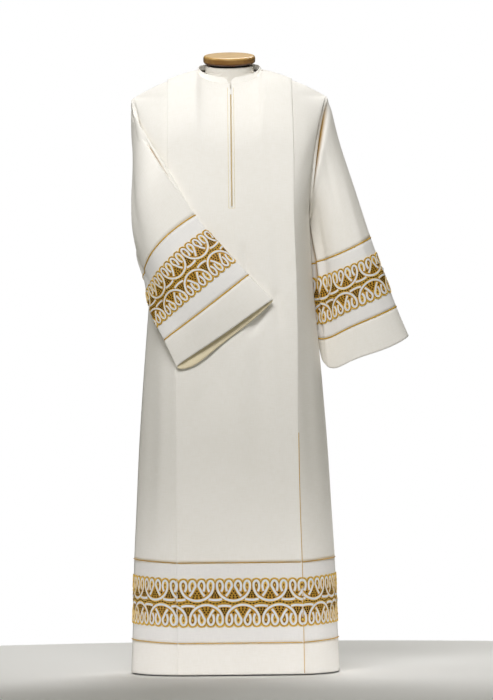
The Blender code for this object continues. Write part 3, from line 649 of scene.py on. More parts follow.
class Trim:
    """Parts of a trim, drawn flat on a cloth and then laid over it as one piece."""

    def __init__(self):
        self.points = []
        self.threads = []
        self.faces = []
        self.face_materials = []

    def add(self, places, faces, material, threads=None):
        """places holds each point's distance across and along the cloth, and its height over it."""
        start = len(self.points)
        self.points += [tuple(place) for place in places]
        self.threads += [place[:2] for place in places] if threads is None else list(threads)
        self.faces += [tuple(start + corner for corner in face) for face in faces]
        self.face_materials += [material] * len(faces) if isinstance(material, int) else list(material)

    def ribbon(self, path, section, materials):
        """Sweeps a section, of distances to the side and heights, along a path of places."""
        path = np.asarray(path, float)
        ahead = np.gradient(path[:, :2], axis=0)
        ahead /= np.linalg.norm(ahead, axis=1, keepdims=True) + 1e-9
        beside = np.stack((-ahead[:, 1], ahead[:, 0]), axis=1)
        run = np.concatenate(([0.0], np.cumsum(np.linalg.norm(np.diff(path[:, :2], axis=0), axis=1))))
        places, threads = [], []
        for point, side, distance in zip(path, beside, run):
            for out, up in section:
                places.append((point[0] + side[0] * out, point[1] + side[1] * out, point[2] + up))
                threads.append((distance, out))
        count = len(section)
        faces = grid_faces(len(path), count)[:, ::-1]
        self.add(places, faces, list(materials) * (len(path) - 1), threads)

    def disc(self, centre, outline, heights, material):
        """A filled outline; heights are those of its rim and of its middle."""
        rim = [(centre[0] + x, centre[1] + y, heights[0]) for x, y in outline]
        count = len(rim)
        faces = [(i, (i + 1) % count, count) for i in range(count)]
        self.add(rim + [(centre[0], centre[1], heights[1])], faces, material)

    def lay(self, name, cloth, materials, start=(0.0, 0.0), hidden=(), ends=None):
        """Lays the trim over the cloth, cut off at its ends and where the cloth is folded under."""
        places = np.array(self.points)
        across, along = places[:, 0] + start[0], places[:, 1] + start[1]
        gone = np.zeros(len(across), bool)
        for low, high in hidden:
            inside = (across > low) & (across < high)
            gone |= inside
            across = np.where(inside, np.where(across - low < high - across, low, high), across)
        if ends:
            gone |= (across < ends[0]) | (across > ends[1])
            across = np.clip(across, *ends)
        faces, face_materials = [], []
        for face, material in zip(self.faces, self.face_materials):
            if not all(gone[corner] for corner in face):
                faces.append(face)
                face_materials.append(material)
        points = cloth.place(across, along, places[:, 2])
        made = new_piece(name, points, faces, materials, face_materials, np.array(self.threads))
        remove_loose(made)
        return made


def remove_loose(piece):
    """Removes the points that no face uses."""
    work = bmesh.new()
    work.from_mesh(piece.data)
    bmesh.ops.delete(work, geom=[point for point in work.verts if not point.link_faces], context="VERTS")
    work.to_mesh(piece.data)
    work.free()


def smooth_path(points, step):
    """Places about a step apart on a smooth curve through the points."""
    points = np.asarray(points, float)
    padded = np.concatenate((2 * points[:1] - points[1:2], points, 2 * points[-1:] - points[-2:-1]))
    path = []
    for a, b, c, d in zip(padded, padded[1:], padded[2:], padded[3:]):
        count = max(2, round(np.linalg.norm((c - b)[:2]) / step))
        path += [between(a, b, c, d, part) for part in np.arange(count) / count]
    path.append(points[-1])
    return np.array(path)


def arc(centre, radii, first, end, count):
    """Points along part of an ellipse, between two angles in degrees."""
    angles = np.radians(np.linspace(first, end, count))
    return [(centre[0] + radii[0] * math.cos(a), centre[1] + radii[1] * math.sin(a)) for a in angles]


def round_section(width, height, sides=6):
    """Half an ellipse that stands on the cloth."""
    return [(-width / 2 * math.cos(math.pi * i / sides), height * math.sin(math.pi * i / sides))
            for i in range(sides + 1)]


# The lace repeats every four scallops. Places are millimetres from the middle of its lower loop.
SCALLOP = 22.6
SCALLOP_Y, SCALLOP_RISE = 52.0, 8.0
REPEAT = 4 * SCALLOP
LOOP_Y, LOOP_TOP, LOOP_HALF = 41.4, 54.4, 7.5
LOOP_MIDDLES = (-33.9, -11.3, 11.3, 33.9)
TAPE_WIDTH = 7.0
TAPE_EDGE = 0.8  # width of the pale gold stitches along each edge of a tape
PATH_STEP = 3.6  # between the points of a tape
EDGE_CORD, RAIL_CORD = (2.6, 1.8), (1.7, 1.3)  # widths and heights
DROP_Y, DROP_WIDTH, DROP_LENGTH = 42.5, 8.4, 15.0
HOLE_RADIUS = 2.5  # larger than a real net's, so that the holes show
RAIL_WAVE = 2.65  # how far the rail swings each way
RAIL_HALF = 3.0  # from the rail's middle to each of its cords
RAIL_HOLE = (2.6, 2.0)  # its radii
RAIL_HOLES = 11  # in each repeat
HOLE_LIFT = 0.35  # of a hole's disc over the ground
GROUND_ROWS = 11
LACE_LIFT = 0.3  # of the ground over the cloth
GOLD, LIGHT, BROWN, TAPE, SHADOW = range(5)


def half_lace_paths():
    """Middle lines of the tapes right of the lower loop's middle, and of the short tape under the next."""
    bottom = arc((0.0, LOOP_Y), (40.6, 36.2), -90, 0, 9)
    outer_loop = arc((33.9, LOOP_Y), (LOOP_HALF, LOOP_TOP - LOOP_Y), 0, 180, 7)[1:]
    inner_loop = arc((11.3, LOOP_Y), (LOOP_HALF, LOOP_TOP - LOOP_Y), 180, 0, 7)
    big = bottom + outer_loop + [(27.6, 34.0), (30.5, 27.5)]
    small = [(18.75, 16.4), (11.7, 25.8), (7.0, 35.2)] + inner_loop + [(17.9, 34.5), (16.4, 28.3)]
    short = [(28.4, 9.3), (36.8, 7.4), (45.2, 6.9), (53.6, 7.4), (62.0, 9.3)]
    return big, small, short


def drop_outline(width, length, count=12):
    """A drop with its round end up, about its own middle."""
    angles = [2 * math.pi * i / count for i in range(count)]
    return [(0.65 * width * math.sin(a) * math.sin(a / 2), -length / 2 * math.cos(a)) for a in angles]


def net_holes():
    """Middles of the holes of the net, in the points between the tapes."""
    places = [(-23.4, 24.2), (21.9, 24.2)]
    for centre_x, top_y, base_y, half in ((0.0, 29.0, 12.5, 9.5), (45.2, 29.5, 14.5, 7.5)):
        for row, count in enumerate((1, 2, 3, 3)):
            y = top_y - (top_y - base_y) * row / 3
            reach = half * min(1.0, (row + 0.4) / 3)
            shares = [2 * i / (count - 1) - 1 for i in range(count)] if count > 1 else [0]
            places += [(centre_x + reach * share, y) for share in shares]
    return places


def rail_y(x):
    """Height of the gently waving rail between the rows."""
    return -RAIL_WAVE * np.cos(2 * np.pi * x / (2 * SCALLOP))


def scallop_y(x):
    """Height of the scalloped edge."""
    part = ((x / SCALLOP) % 1.0 - 0.5) * 2
    return SCALLOP_Y + SCALLOP_RISE * math.sqrt(max(0.0, 1 - part * part))


def lace_row(trim, repeats, shape, way):
    """One row of the lace: way is 1 for the upper row and -1 for its shifted mirror."""
    stretch_x, stretch_y, base = shape
    shift = 0.0 if way > 0 else SCALLOP

    def at(x, y, up=0.0):
        return ((x + shift) * stretch_x, way * y * stretch_y, base + up)

    edge, half = TAPE_EDGE * stretch_x, TAPE_WIDTH / 2 * stretch_x
    tape = [(-half, 0.0), (-half + edge / 2, 1.0), (-half + edge, 0.5), (0.0, 0.9)]
    tape += [(-out, up) for out, up in reversed(tape[:-1])]
    tape_materials = (LIGHT, LIGHT, TAPE, TAPE, LIGHT, LIGHT)
    cord = round_section(EDGE_CORD[0] * stretch_x, EDGE_CORD[1], 4)
    big, small, short = half_lace_paths()
    for repeat in range(*repeats):
        middle = repeat * REPEAT
        paths = [(short, 1, 1.5)]
        for side in (1, -1):
            paths += [(big, side, 0.5), (small, side, 1.0)]
        for points, side, up in paths:
            flat = smooth_path(points, PATH_STEP)
            rise = np.linspace(0.0, 0.5, len(flat))
            path = [at(middle + side * x, y, up + lift) for (x, y), lift in zip(flat, rise)]
            trim.ribbon(path if side * way > 0 else path[::-1], tape, tape_materials)
        for index, loop_x in enumerate(LOOP_MIDDLES):
            # The scallop stops just short of its ends, where it would run straight up.
            across = middle + loop_x + SCALLOP / 2 * np.linspace(-0.999, 0.999, 9)
            trim.ribbon([at(x, scallop_y(x), 0.3) for x in across][::way], cord, [LIGHT] * 4)
            tones = (LIGHT, BROWN) if index % 2 else (BROWN, LIGHT)
            for size, tone, up in ((1.0, tones[0], 1.2), (0.5, tones[1], 2.0)):
                drop = [(x * stretch_x, way * y * stretch_y)
                        for x, y in drop_outline(DROP_WIDTH * size, DROP_LENGTH * size)][::way]
                trim.disc(at(middle + loop_x, DROP_Y), drop, (base + up, base + up + 0.8), tone)
        # Painted shade: near-black discs on the ground for the net's holes.
        for x, y in net_holes():
            hole = arc((0.0, 0.0), (HOLE_RADIUS * stretch_x, HOLE_RADIUS * stretch_y), 0, 300, 6)
            trim.disc(at(middle + x, y), hole, (base + HOLE_LIFT, base + HOLE_LIFT), SHADOW)


def lace_ground(trim, repeats, shape):
    """The ground of gold thread under both rows, and the rail between them with its row of holes."""
    stretch_x, stretch_y, base = shape
    columns = np.arange(repeats[0] * REPEAT, repeats[1] * REPEAT + 0.1, SCALLOP / 8)
    places = []
    for share in np.linspace(-1.0, 1.0, GROUND_ROWS):
        for x in columns:
            reach = scallop_y(x) if share > 0 else scallop_y(x - SCALLOP)
            places.append((x * stretch_x, share * reach * stretch_y, base))
    trim.add(places, grid_faces(GROUND_ROWS, len(columns)), GOLD)
    for out in (-RAIL_HALF, RAIL_HALF):
        path = [(x * stretch_x, (rail_y(x) + out) * stretch_y, base + 0.6) for x in columns]
        trim.ribbon(path, round_section(RAIL_CORD[0] * stretch_x, RAIL_CORD[1], 4), [LIGHT] * 4)
    # Painted shade: near-black discs on the ground for the rail's holes.
    for x in np.arange(columns[0], columns[-1], REPEAT / RAIL_HOLES):
        hole = arc((0.0, 0.0), (RAIL_HOLE[0] * stretch_x, RAIL_HOLE[1] * stretch_y), 0, 300, 6)
        place = (x * stretch_x, rail_y(x) * stretch_y)
        trim.disc(place, hole, (base + HOLE_LIFT, base + HOLE_LIFT), SHADOW)


def lace(repeats, stretch_x, stretch_y, thickness):
    """The whole lace over a cloth of this thickness, from one repeat to another."""
    trim = Trim()
    shape = (stretch_x, stretch_y, thickness / 2 + LACE_LIFT)
    lace_ground(trim, repeats, shape)
    for way in (1, -1):
        lace_row(trim, repeats, shape, way)
    return trim


def tube(name, path, radius, made_of, closed=False, sides=8, ridges=None):
    """A cord along a path of points. ridges holds their spacing, and their share of the radius."""
    path = np.asarray(path, float)
    if closed:
        ahead = np.roll(path, -1, axis=0) - np.roll(path, 1, axis=0)
    else:
        ahead = np.gradient(path, axis=0)
    ahead /= np.linalg.norm(ahead, axis=1, keepdims=True) + 1e-9
    across = np.cross(ahead, (0.0, 0.0, 1.0))
    # Where the path is nearly upright, its sides are told from the front instead of from above.
    upright = np.linalg.norm(across, axis=1) < 0.2
    across[upright] = np.cross(ahead[upright], (0.0, -1.0, 0.0))
    across /= np.linalg.norm(across, axis=1, keepdims=True)
    up = np.cross(across, ahead)
    angles = np.linspace(0.0, 2 * np.pi, sides, endpoint=False)
    run = np.concatenate(([0.0], np.cumsum(np.linalg.norm(np.diff(path, axis=0), axis=1))))
    radii = np.full(len(path), radius)
    if ridges:
        radii = radius * (1 - ridges[1] * (0.5 + 0.5 * np.cos(2 * np.pi * run / ridges[0])))
    spokes = across[:, None] * np.cos(angles)[:, None] + up[:, None] * np.sin(angles)[:, None]
    points = (path[:, None] + spokes * radii[:, None, None]).reshape(-1, 3)
    rows = len(path)
    faces = grid_faces(rows, sides, ring=True).tolist()
    if closed:
        last = (rows - 1) * sides
        faces += [(last + i, last + (i + 1) % sides, (i + 1) % sides, i) for i in range(sides)]
    else:
        faces += [tuple(range(sides))[::-1], tuple((rows - 1) * sides + i for i in range(sides))]
    threads = np.stack(np.broadcast_arrays(run[:, None], angles * radius), axis=-1).reshape(-1, 2)
    return new_piece(name, points, faces, [made_of], threads=threads)


# ---------------------------------------------------------------- finishes

WAVE_PERIOD = 2 * math.pi / 20  # length of one band of a wave texture at scale 1, in metres
SHARE, FIRST, SECOND, MIXED = 0, 6, 7, 2  # a colour mix's inputs and its output


def wave_scale(spacing):
    """Scale of a wave texture whose bands are this many millimetres apart."""
    return WAVE_PERIOD / (spacing * MM)


def noise_scale(size):
    """Scale of a noise texture whose patches are about this many millimetres across."""
    return 1 / (size * MM)


def woven(name, colour, shade, thread, slub, roughness):
    """Plain-woven cloth of slubby yarn: soft and matt, with short thicker threads both ways.

    thread is the distance from one thread to the next, and slub how much of the shade the slubs take.
    """
    made, tree, shader = new_material(
        name, colour, roughness, Specular_IOR_Level=0.2, Sheen_Weight=0.15, Sheen_Roughness=0.5)
    place = add_node(tree, "ShaderNodeUVMap", uv_map="threads")
    bands = [add_node(tree, "ShaderNodeTexWave", [
        ("Vector", (place, "UV")), ("Scale", wave_scale(thread)), ("Distortion", 1.2), ("Detail", 1.0)],
        bands_direction=way) for way in ("X", "Y")]
    weave = add_node(tree, "ShaderNodeMath", [(0, (bands[0], "Fac")), (1, (bands[1], "Fac"))])
    slubs = []
    for lengths in ((24.0, 1.8), (1.8, 24.0)):
        stretched = add_node(tree, "ShaderNodeMapping", [
            ("Vector", (place, "UV")), ("Scale", (noise_scale(lengths[0]), noise_scale(lengths[1]), 1.0))])
        slubs.append(add_node(tree, "ShaderNodeTexNoise", [
            ("Vector", (stretched, "Vector")), ("Scale", 1.0), ("Detail", 2.0)]))
    yarn = add_node(tree, "ShaderNodeMath", [(0, (slubs[0], "Fac")), (1, (slubs[1], "Fac"))])
    cloudy = add_node(tree, "ShaderNodeTexNoise", [
        ("Vector", (place, "UV")), ("Scale", noise_scale(180.0)), ("Detail", 2.0)])
    both = add_node(tree, "ShaderNodeMath", [(0, (cloudy, "Fac")), (1, 0.7), (2, (yarn, "Value"))],
                    operation="MULTIPLY_ADD")
    tone = add_node(tree, "ShaderNodeMapRange", [
        ("Value", (both, "Value")), ("From Min", 1.1), ("From Max", 1.6), ("To Max", slub)])
    mixed = add_node(tree, "ShaderNodeMix", [
        (SHARE, (tone, "Result")), (FIRST, colour), (SECOND, shade)], data_type="RGBA")
    # Painted shade: deep troughs are darkened towards a warm gold in the colour, for the shade and the
    # cloth's own warm light thrown back into them.
    fold = add_node(tree, "ShaderNodeAttribute", attribute_name="fold")
    painted_fold_shade = add_node(tree, "ShaderNodeMix", [
        (SHARE, (fold, "Fac")), (FIRST, (mixed, MIXED)), (SECOND, linear("#A37C2C"))], data_type="RGBA")
    tree.links.new(painted_fold_shade.outputs[MIXED], shader.inputs["Base Color"])
    height = add_node(tree, "ShaderNodeMath", [(0, (yarn, "Value")), (1, 1.5), (2, (weave, "Value"))],
                      operation="MULTIPLY_ADD")
    bump = add_node(tree, "ShaderNodeBump", [
        ("Strength", 0.09), ("Distance", 0.4 * MM), ("Height", (height, "Value"))])
    tree.links.new(bump.outputs["Normal"], shader.inputs["Normal"])
    return made


def thread_work(name, colour, shade, thread, roughness, twist=0.0):
    """Close rows of thread, as in satin stitch, braid or twisted cord: painted darker between the threads as
    shade, so that each thread looks bright.

    thread is the distance from one thread to the next, and twist is the angle in radians they slant by.
    """
    made, tree, shader = new_material(name, colour, roughness, Specular_IOR_Level=0.4)
    place = add_node(tree, "ShaderNodeUVMap", uv_map="threads")
    turned = add_node(tree, "ShaderNodeMapping", [("Vector", (place, "UV")), ("Rotation", (0.0, 0.0, twist))])
    rows = add_node(tree, "ShaderNodeTexWave", [
        ("Vector", (turned, "Vector")), ("Scale", wave_scale(thread)), ("Distortion", 2.0), ("Detail", 1.0)])
    uneven = add_node(tree, "ShaderNodeTexNoise", [
        ("Vector", (place, "UV")), ("Scale", noise_scale(7.0)), ("Detail", 3.0)])
    share = add_node(tree, "ShaderNodeMath", [(0, (rows, "Fac")), (1, (uneven, "Fac"))], operation="MULTIPLY")
    tone = add_node(tree, "ShaderNodeMapRange", [("Value", (share, "Value")), ("From Max", 0.5)])
    # Painted shade: the colour falls to the shade between the rows of thread.
    mixed = add_node(tree, "ShaderNodeMix", [
        (SHARE, (tone, "Result")), (FIRST, shade), (SECOND, colour)], data_type="RGBA")
    tree.links.new(mixed.outputs[MIXED], shader.inputs["Base Color"])
    bump = add_node(tree, "ShaderNodeBump", [
        ("Strength", 0.5), ("Distance", 0.4 * MM), ("Height", (rows, "Fac"))])
    tree.links.new(bump.outputs["Normal"], shader.inputs["Normal"])
    return made


def linen(settings):
    """Cream linen, woven and washed: matt, with a faint grid of slubs. Threads are drawn at 3 mm, not 0.6."""
    return woven("woven_cream_linen", (*settings.linen, 1.0), linear("#EBE6DA"), 3.0, 0.3, 0.88)


def linen_inside_painted_shade(_settings):
    """The linen's wrong side, inside the cuffs: duller, and painted more golden than its face as the warm
    shade inside the cuff.
    """
    return woven("woven_linen_painted_inner_shade", linear("#F7EBCB"), linear("#EBDBB0"), 3.0, 0.3, 0.9)


def white_linen(settings):
    """Whiter, finer linen behind the lace, a little cooler than the rest. Threads are drawn at 3 mm."""
    return woven("woven_white_linen", (*settings.white_linen, 1.0), linear("#E2E0DF"), 3.0, 0.3, 0.85)


def lace_threads(settings):
    """The lace's threads, in the order of its material numbers. Threads are drawn at 1.4 mm, not 0.4."""
    gold, tape = (*settings.gold, 1.0), (*settings.tape, 1.0)
    pale, pale_shade = linear("#FBDA66"), linear("#DBA93A")
    brown, brown_shade = linear("#9A5E0E"), linear("#5C3606")
    return [
        # Gold rayon thread laid side by side: silky, with painted shade between the threads.
        thread_work("satin_stitched_gold_rayon", gold, linear("#946614"), 1.4, 0.42, twist=0.6),
        # Pale gold rayon: the light drops and the tapes' edges.
        thread_work("satin_stitched_pale_gold_rayon", pale, pale_shade, 1.4, 0.4, twist=0.6),
        # Brown gold rayon: the dark drops.
        thread_work("satin_stitched_brown_gold_rayon", brown, brown_shade, 1.4, 0.45, twist=0.6),
        # Woven cotton tape: bluish white and matt.
        thread_work("woven_white_cotton_tape", tape, linear("#E4E6E8"), 1.2, 0.8),
        # Painted shade: near-black discs laid on the ground stand for the net's openings, where no light
        # comes back.
        thread_work("painted_shade_net_opening", linear("#140B02"), linear("#0A0501"), 1.2, 0.9),
    ]


def gold_cord(_settings):
    """Twisted satin cord: gold, with painted shade between its slanting strands so that they look bright."""
    return thread_work("twisted_gold_satin_cord", linear("#EABB12"), linear("#B48804"), 1.8, 0.4, twist=0.9)


def sewing_thread(_settings):
    """Tan cotton thread of the stitch lines, matt."""
    return thread_work("spun_tan_cotton_thread", linear("#F0E2B2"), linear("#DCC78A"), 1.0, 0.75)


def zip_tape(settings):
    """Tan polyester tape with a slanting weave, matt."""
    tan, shade = (*settings.tan, 1.0), linear("#CDB277")
    return thread_work("woven_tan_polyester_tape", tan, shade, 1.5, 0.7, twist=0.8)


def zip_coil(settings):
    """Tan nylon coil, wound from one filament: slightly glossy."""
    return thread_work("wound_tan_nylon_coil", (*settings.tan, 1.0), linear("#D0B070"), 1.6, 0.4)


def zip_metal(settings):
    """Nickel-plated zinc, die-cast and tumbled: bright, its shine broken up by fine wear."""
    made, tree, shader = new_material("plated_nickel", (*settings.metal, 1.0), 0.55, Metallic=1.0)
    place = add_node(tree, "ShaderNodeTexCoord")
    wear = add_node(tree, "ShaderNodeTexNoise", [
        ("Vector", (place, "Object")), ("Scale", noise_scale(1.5)), ("Detail", 4.0)])
    rough = add_node(tree, "ShaderNodeMapRange", [
        ("Value", (wear, "Fac")), ("To Min", 0.45), ("To Max", 0.65)])
    tree.links.new(rough.outputs["Result"], shader.inputs["Roughness"])
    return made


def jersey(settings):
    """Knitted cotton jersey, stretched over the form: off-white and matt, with fine ribs both ways."""
    colour = (*settings.jersey, 1.0)
    made, tree, shader = new_material("knitted_cotton_jersey", colour, 0.92, Specular_IOR_Level=0.2)
    place = add_node(tree, "ShaderNodeTexCoord")
    ribs = [add_node(tree, "ShaderNodeTexWave", [
        ("Vector", (place, "Object")), ("Scale", wave_scale(spacing)), ("Distortion", 0.6)],
        bands_direction=way) for way, spacing in (("X", 2.0), ("Z", 1.6))]
    loops = add_node(tree, "ShaderNodeMath", [
        (0, (ribs[0], "Fac")), (1, (ribs[1], "Fac"))], operation="MULTIPLY")
    # Painted shade: the colour is darker between the ribs.
    mixed = add_node(tree, "ShaderNodeMix", [
        (SHARE, (loops, "Value")), (FIRST, linear("#E6E1D6")), (SECOND, colour)], data_type="RGBA")
    tree.links.new(mixed.outputs[MIXED], shader.inputs["Base Color"])
    bump = add_node(tree, "ShaderNodeBump", [
        ("Strength", 0.4), ("Distance", 0.5 * MM), ("Height", (loops, "Value"))])
    tree.links.new(bump.outputs["Normal"], shader.inputs["Normal"])
    return made


def turned_wood(settings):
    """Beech, turned, stained honey brown and varnished: rings of grain under a clear gloss."""
    colour = (*settings.wood, 1.0)
    made, tree, shader = new_material(
        "turned_varnished_beech", colour, 0.3, Coat_Weight=0.15, Coat_Roughness=0.15)
    place = add_node(tree, "ShaderNodeTexCoord")
    stretched = add_node(tree, "ShaderNodeMapping", [
        ("Vector", (place, "Object")), ("Scale", (0.2, 1.0, 1.0)), ("Rotation", (0.1, 0.25, 0.5))])
    grain = add_node(tree, "ShaderNodeTexWave", [
        ("Vector", (stretched, "Vector")), ("Scale", wave_scale(9.0)), ("Distortion", 14.0), ("Detail", 3.0)])
    fleck = add_node(tree, "ShaderNodeTexNoise", [
        ("Vector", (stretched, "Vector")), ("Scale", noise_scale(2.0)), ("Detail", 3.0)])
    both = add_node(tree, "ShaderNodeMath", [(0, (grain, "Fac")), (1, (fleck, "Fac"))])
    tone = add_node(tree, "ShaderNodeMapRange", [
        ("Value", (both, "Value")), ("From Min", 0.2), ("From Max", 3.6)])
    mixed = add_node(tree, "ShaderNodeMix", [
        (SHARE, (tone, "Result")), (FIRST, colour), (SECOND, linear("#8C5620"))], data_type="RGBA")
    # Painted shade: faces that turn from the top towards the side and underneath are darkened towards deep
    # brown in the colour.
    surface = add_node(tree, "ShaderNodeNewGeometry")
    parts = add_node(tree, "ShaderNodeSeparateXYZ", [("Vector", (surface, "Normal"))])
    edge = add_node(tree, "ShaderNodeMapRange", [
        ("Value", (parts, "Z")), ("From Min", -0.5), ("From Max", 0.9), ("To Min", 1.0), ("To Max", 0.0)])
    stained = add_node(tree, "ShaderNodeMix", [
        (SHARE, (edge, "Result")), (FIRST, (mixed, MIXED)), (SECOND, linear("#5A2F0C"))], data_type="RGBA")
    tree.links.new(stained.outputs[MIXED], shader.inputs["Base Color"])
    bump = add_node(tree, "ShaderNodeBump", [
        ("Strength", 0.1), ("Distance", 0.3 * MM), ("Height", (both, "Value"))])
    tree.links.new(bump.outputs["Normal"], shader.inputs["Normal"])
    return made


def gap_shadow_felt(settings):
    """Pressed wool felt between the neck and its cap: soft, with short fibres; its near-black colour is
    painted shade for the shadow in the gap under the cap.
    """
    made, tree, shader = new_material("pressed_felt_painted_gap_shadow", (*settings.felt, 1.0), 0.95, Sheen_Weight=0.3)
    place = add_node(tree, "ShaderNodeTexCoord")
    fibres = add_node(tree, "ShaderNodeTexNoise", [
        ("Vector", (place, "Object")), ("Scale", noise_scale(1.2)), ("Detail", 5.0)])
    bump = add_node(tree, "ShaderNodeBump", [
        ("Strength", 0.6), ("Distance", 0.6 * MM), ("Height", (fibres, "Fac"))])
    tree.links.new(bump.outputs["Normal"], shader.inputs["Normal"])
    return made


def stand_steel(settings):
    """Steel, spun and powder-coated grey: satin, with a fine orange-peel surface."""
    made, tree, shader = new_material("powder_coated_steel", (*settings.steel, 1.0), 0.45)
    place = add_node(tree, "ShaderNodeTexCoord")
    peel = add_node(tree, "ShaderNodeTexNoise", [
        ("Vector", (place, "Object")), ("Scale", noise_scale(1.5)), ("Detail", 2.0)])
    bump = add_node(tree, "ShaderNodeBump", [
        ("Strength", 0.15), ("Distance", 0.3 * MM), ("Height", (peel, "Fac"))])
    tree.links.new(bump.outputs["Normal"], shader.inputs["Normal"])
    rough = add_node(tree, "ShaderNodeMapRange", [
        ("Value", (peel, "Fac")), ("To Min", 0.38), ("To Max", 0.55)])
    tree.links.new(rough.outputs["Result"], shader.inputs["Roughness"])
    return made


# ---------------------------------------------------------------- sizes and colours a user may change

def colour_setting(name, description, hex_colour):
    """A setting that holds a colour."""
    return FloatVectorProperty(
        name=name, description=description, default=linear(hex_colour)[:3], subtype="COLOR", size=3,
        min=0.0, max=1.0)


class AlbSettings(bpy.types.PropertyGroup):
    """Sizes and colours of the alb and its form."""

    thickness: FloatProperty(
        name="Cloth", description="Thickness of the cloth", default=1.2 * MM, min=0.3 * MM, max=2.0 * MM,
        unit="LENGTH")
    cord_width: FloatProperty(
        name="Cord", description="Width of the gold cords on the body's bands", default=3.3 * MM,
        min=1.0 * MM, max=6.0 * MM, unit="LENGTH")
    linen: colour_setting("Linen", "Colour of the linen", "#FAF7F1")
    white_linen: colour_setting("White linen", "Colour of the linen behind the lace", "#F4F2EF")
    gold: colour_setting("Gold", "Colour of the lace's gold thread", "#E4B036")
    tape: colour_setting("Tape", "Colour of the lace's cotton tape", "#F6F7F8")
    tan: colour_setting("Tan", "Colour of the zip's tape and coil", "#E2CB96")
    metal: colour_setting("Metal", "Colour of the zip's slider", "#F8F6F2")
    jersey: colour_setting("Jersey", "Colour of the form's cover", "#FBF8F3")
    wood: colour_setting("Wood", "Colour of the neck cap", "#E8BD6E")
    # Painted shade: the felt's near-black stands for the shadow in the gap under the cap.
    felt: colour_setting("Felt", "Colour of the felt under the cap", "#1C1B1A")
    steel: colour_setting("Steel", "Colour of the stand", "#5A5B5D")


class AlbStudio(bpy.types.PropertyGroup):
    """The light and the floor round the alb."""

    key_power: FloatProperty(
        name="Key light", description="Power of the key light", default=15.0, min=0.0, unit="POWER")
    fill_power: FloatProperty(
        name="Fill light", description="Power of the fill light", default=9.6, min=0.0, unit="POWER")
    low_power: FloatProperty(
        name="Low lights", description="Power of each light near the floor", default=0.5, min=0.0,
        unit="POWER")
    sky: FloatProperty(name="Sky", description="Strength of the light all round", default=0.13, min=0.0)
    floor: colour_setting("Floor", "Colour of the floor", "#F8F7F5")


# ---------------------------------------------------------------- pieces

# The lace's start: the middle of a lower loop, from the centre front and round the sleeves.
LACE_OFFSET = -2.8
BODY_REPEATS = (-5, 6)
SLEEVE_LACE_START = {RIGHT: 0.25, LEFT: 0.75}  # share of the way round
SLEEVE_LACE_WIDTH = 0.86  # about how much narrower than the body's its repeats are
SLEEVE_LACE_HEIGHT = 0.92
SLEEVE_CORD_SHARE = 0.9  # of the body's cord width
FINISHES = {}


def shared(make):
    """A finish that several pieces share, made the first time it is asked for."""
    if make.__name__ not in FINISHES:
        FINISHES[make.__name__] = make(bpy.context.scene.alb_settings)
    return FINISHES[make.__name__]


def sewn(piece, cloth, node, trims=()):
    """Hangs a piece and its trims on the alb's root, and hides the CAD node that it stands for."""
    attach(piece, ROOT)
    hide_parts(node)
    for trim in trims:
        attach(trim, ROOT)
    area = cloth.flat_area()


def rolled_seam(name, path, closed=False):
    """The soft roll where two pieces of linen are sewn together."""
    seam = tube(name, path, SEAM_RADIUS, shared(linen), closed)
    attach(seam, ROOT)


def centre_column():
    """Which column of the front or the back runs down its centre."""
    return len(half_columns()) - 1


def outer_fold():
    """Columns from the centre to the middle of a pleat's outer fold."""
    return int(np.argmax(half_columns()[:, 3] >= LAYER / 2))


def folded_under(cloth, face):
    """Distances across the cloth between which it is folded under the centre panel."""
    centre, fold = centre_column(), outer_fold()
    out = int(np.argmax(half_columns()[:, 2] > 0.0)) - 1
    # The front has one column more on its right, beside the zip's slit.
    extra = 1 if face == FRONT else 0
    across = cloth.across.tolist()
    return [(across[centre - out], across[centre - fold]),
            (across[centre + extra + fold], across[centre + extra + out])]


def cord_on_row(name, cloth, row, settings, spans):
    """Gold cord sewn along a row of the cloth, as one piece in several runs."""
    trim = Trim()
    width, lifted = settings.cord_width / MM, settings.thickness / MM / 2
    section = round_section(width, width * 0.8)
    for low, high in spans:
        across = np.linspace(low, high, max(4, round((high - low) / 6)))
        trim.ribbon([(x, 0.0, lifted) for x in across], section, [0] * 6)
    return trim.lay(name, cloth, [shared(gold_cord)], start=(0.0, float(cloth.along[row])))


def body_cords(cloth, face, settings):
    """The gold cords along the lower and the upper edge of a band, where it isn't folded under."""
    (left_low, left_high), (right_low, right_high) = folded_under(cloth, face)
    seen = [(0.0, left_low), (left_high, right_low), (right_high, float(cloth.across[-1]))]
    return [cord_on_row(f"{NAMES[face]}_{level}_gold_cord", cloth, row, settings, seen)
            for level, row in (("lower", 0), ("upper", cloth.rows - 1))]


def bodice_cloth(face):
    """The cloth above the lace band: level rows to the armpit, then rows that fan to the shoulder."""
    skirt = body_cloth(face, UPPER_CORD_Z, ARMPIT_Z, 105)
    yoke = body_cloth(face, steps=52, above_armpit=True)
    return Cloth(np.concatenate((skirt.points[:-1], yoke.points)), flip=face == BACK)


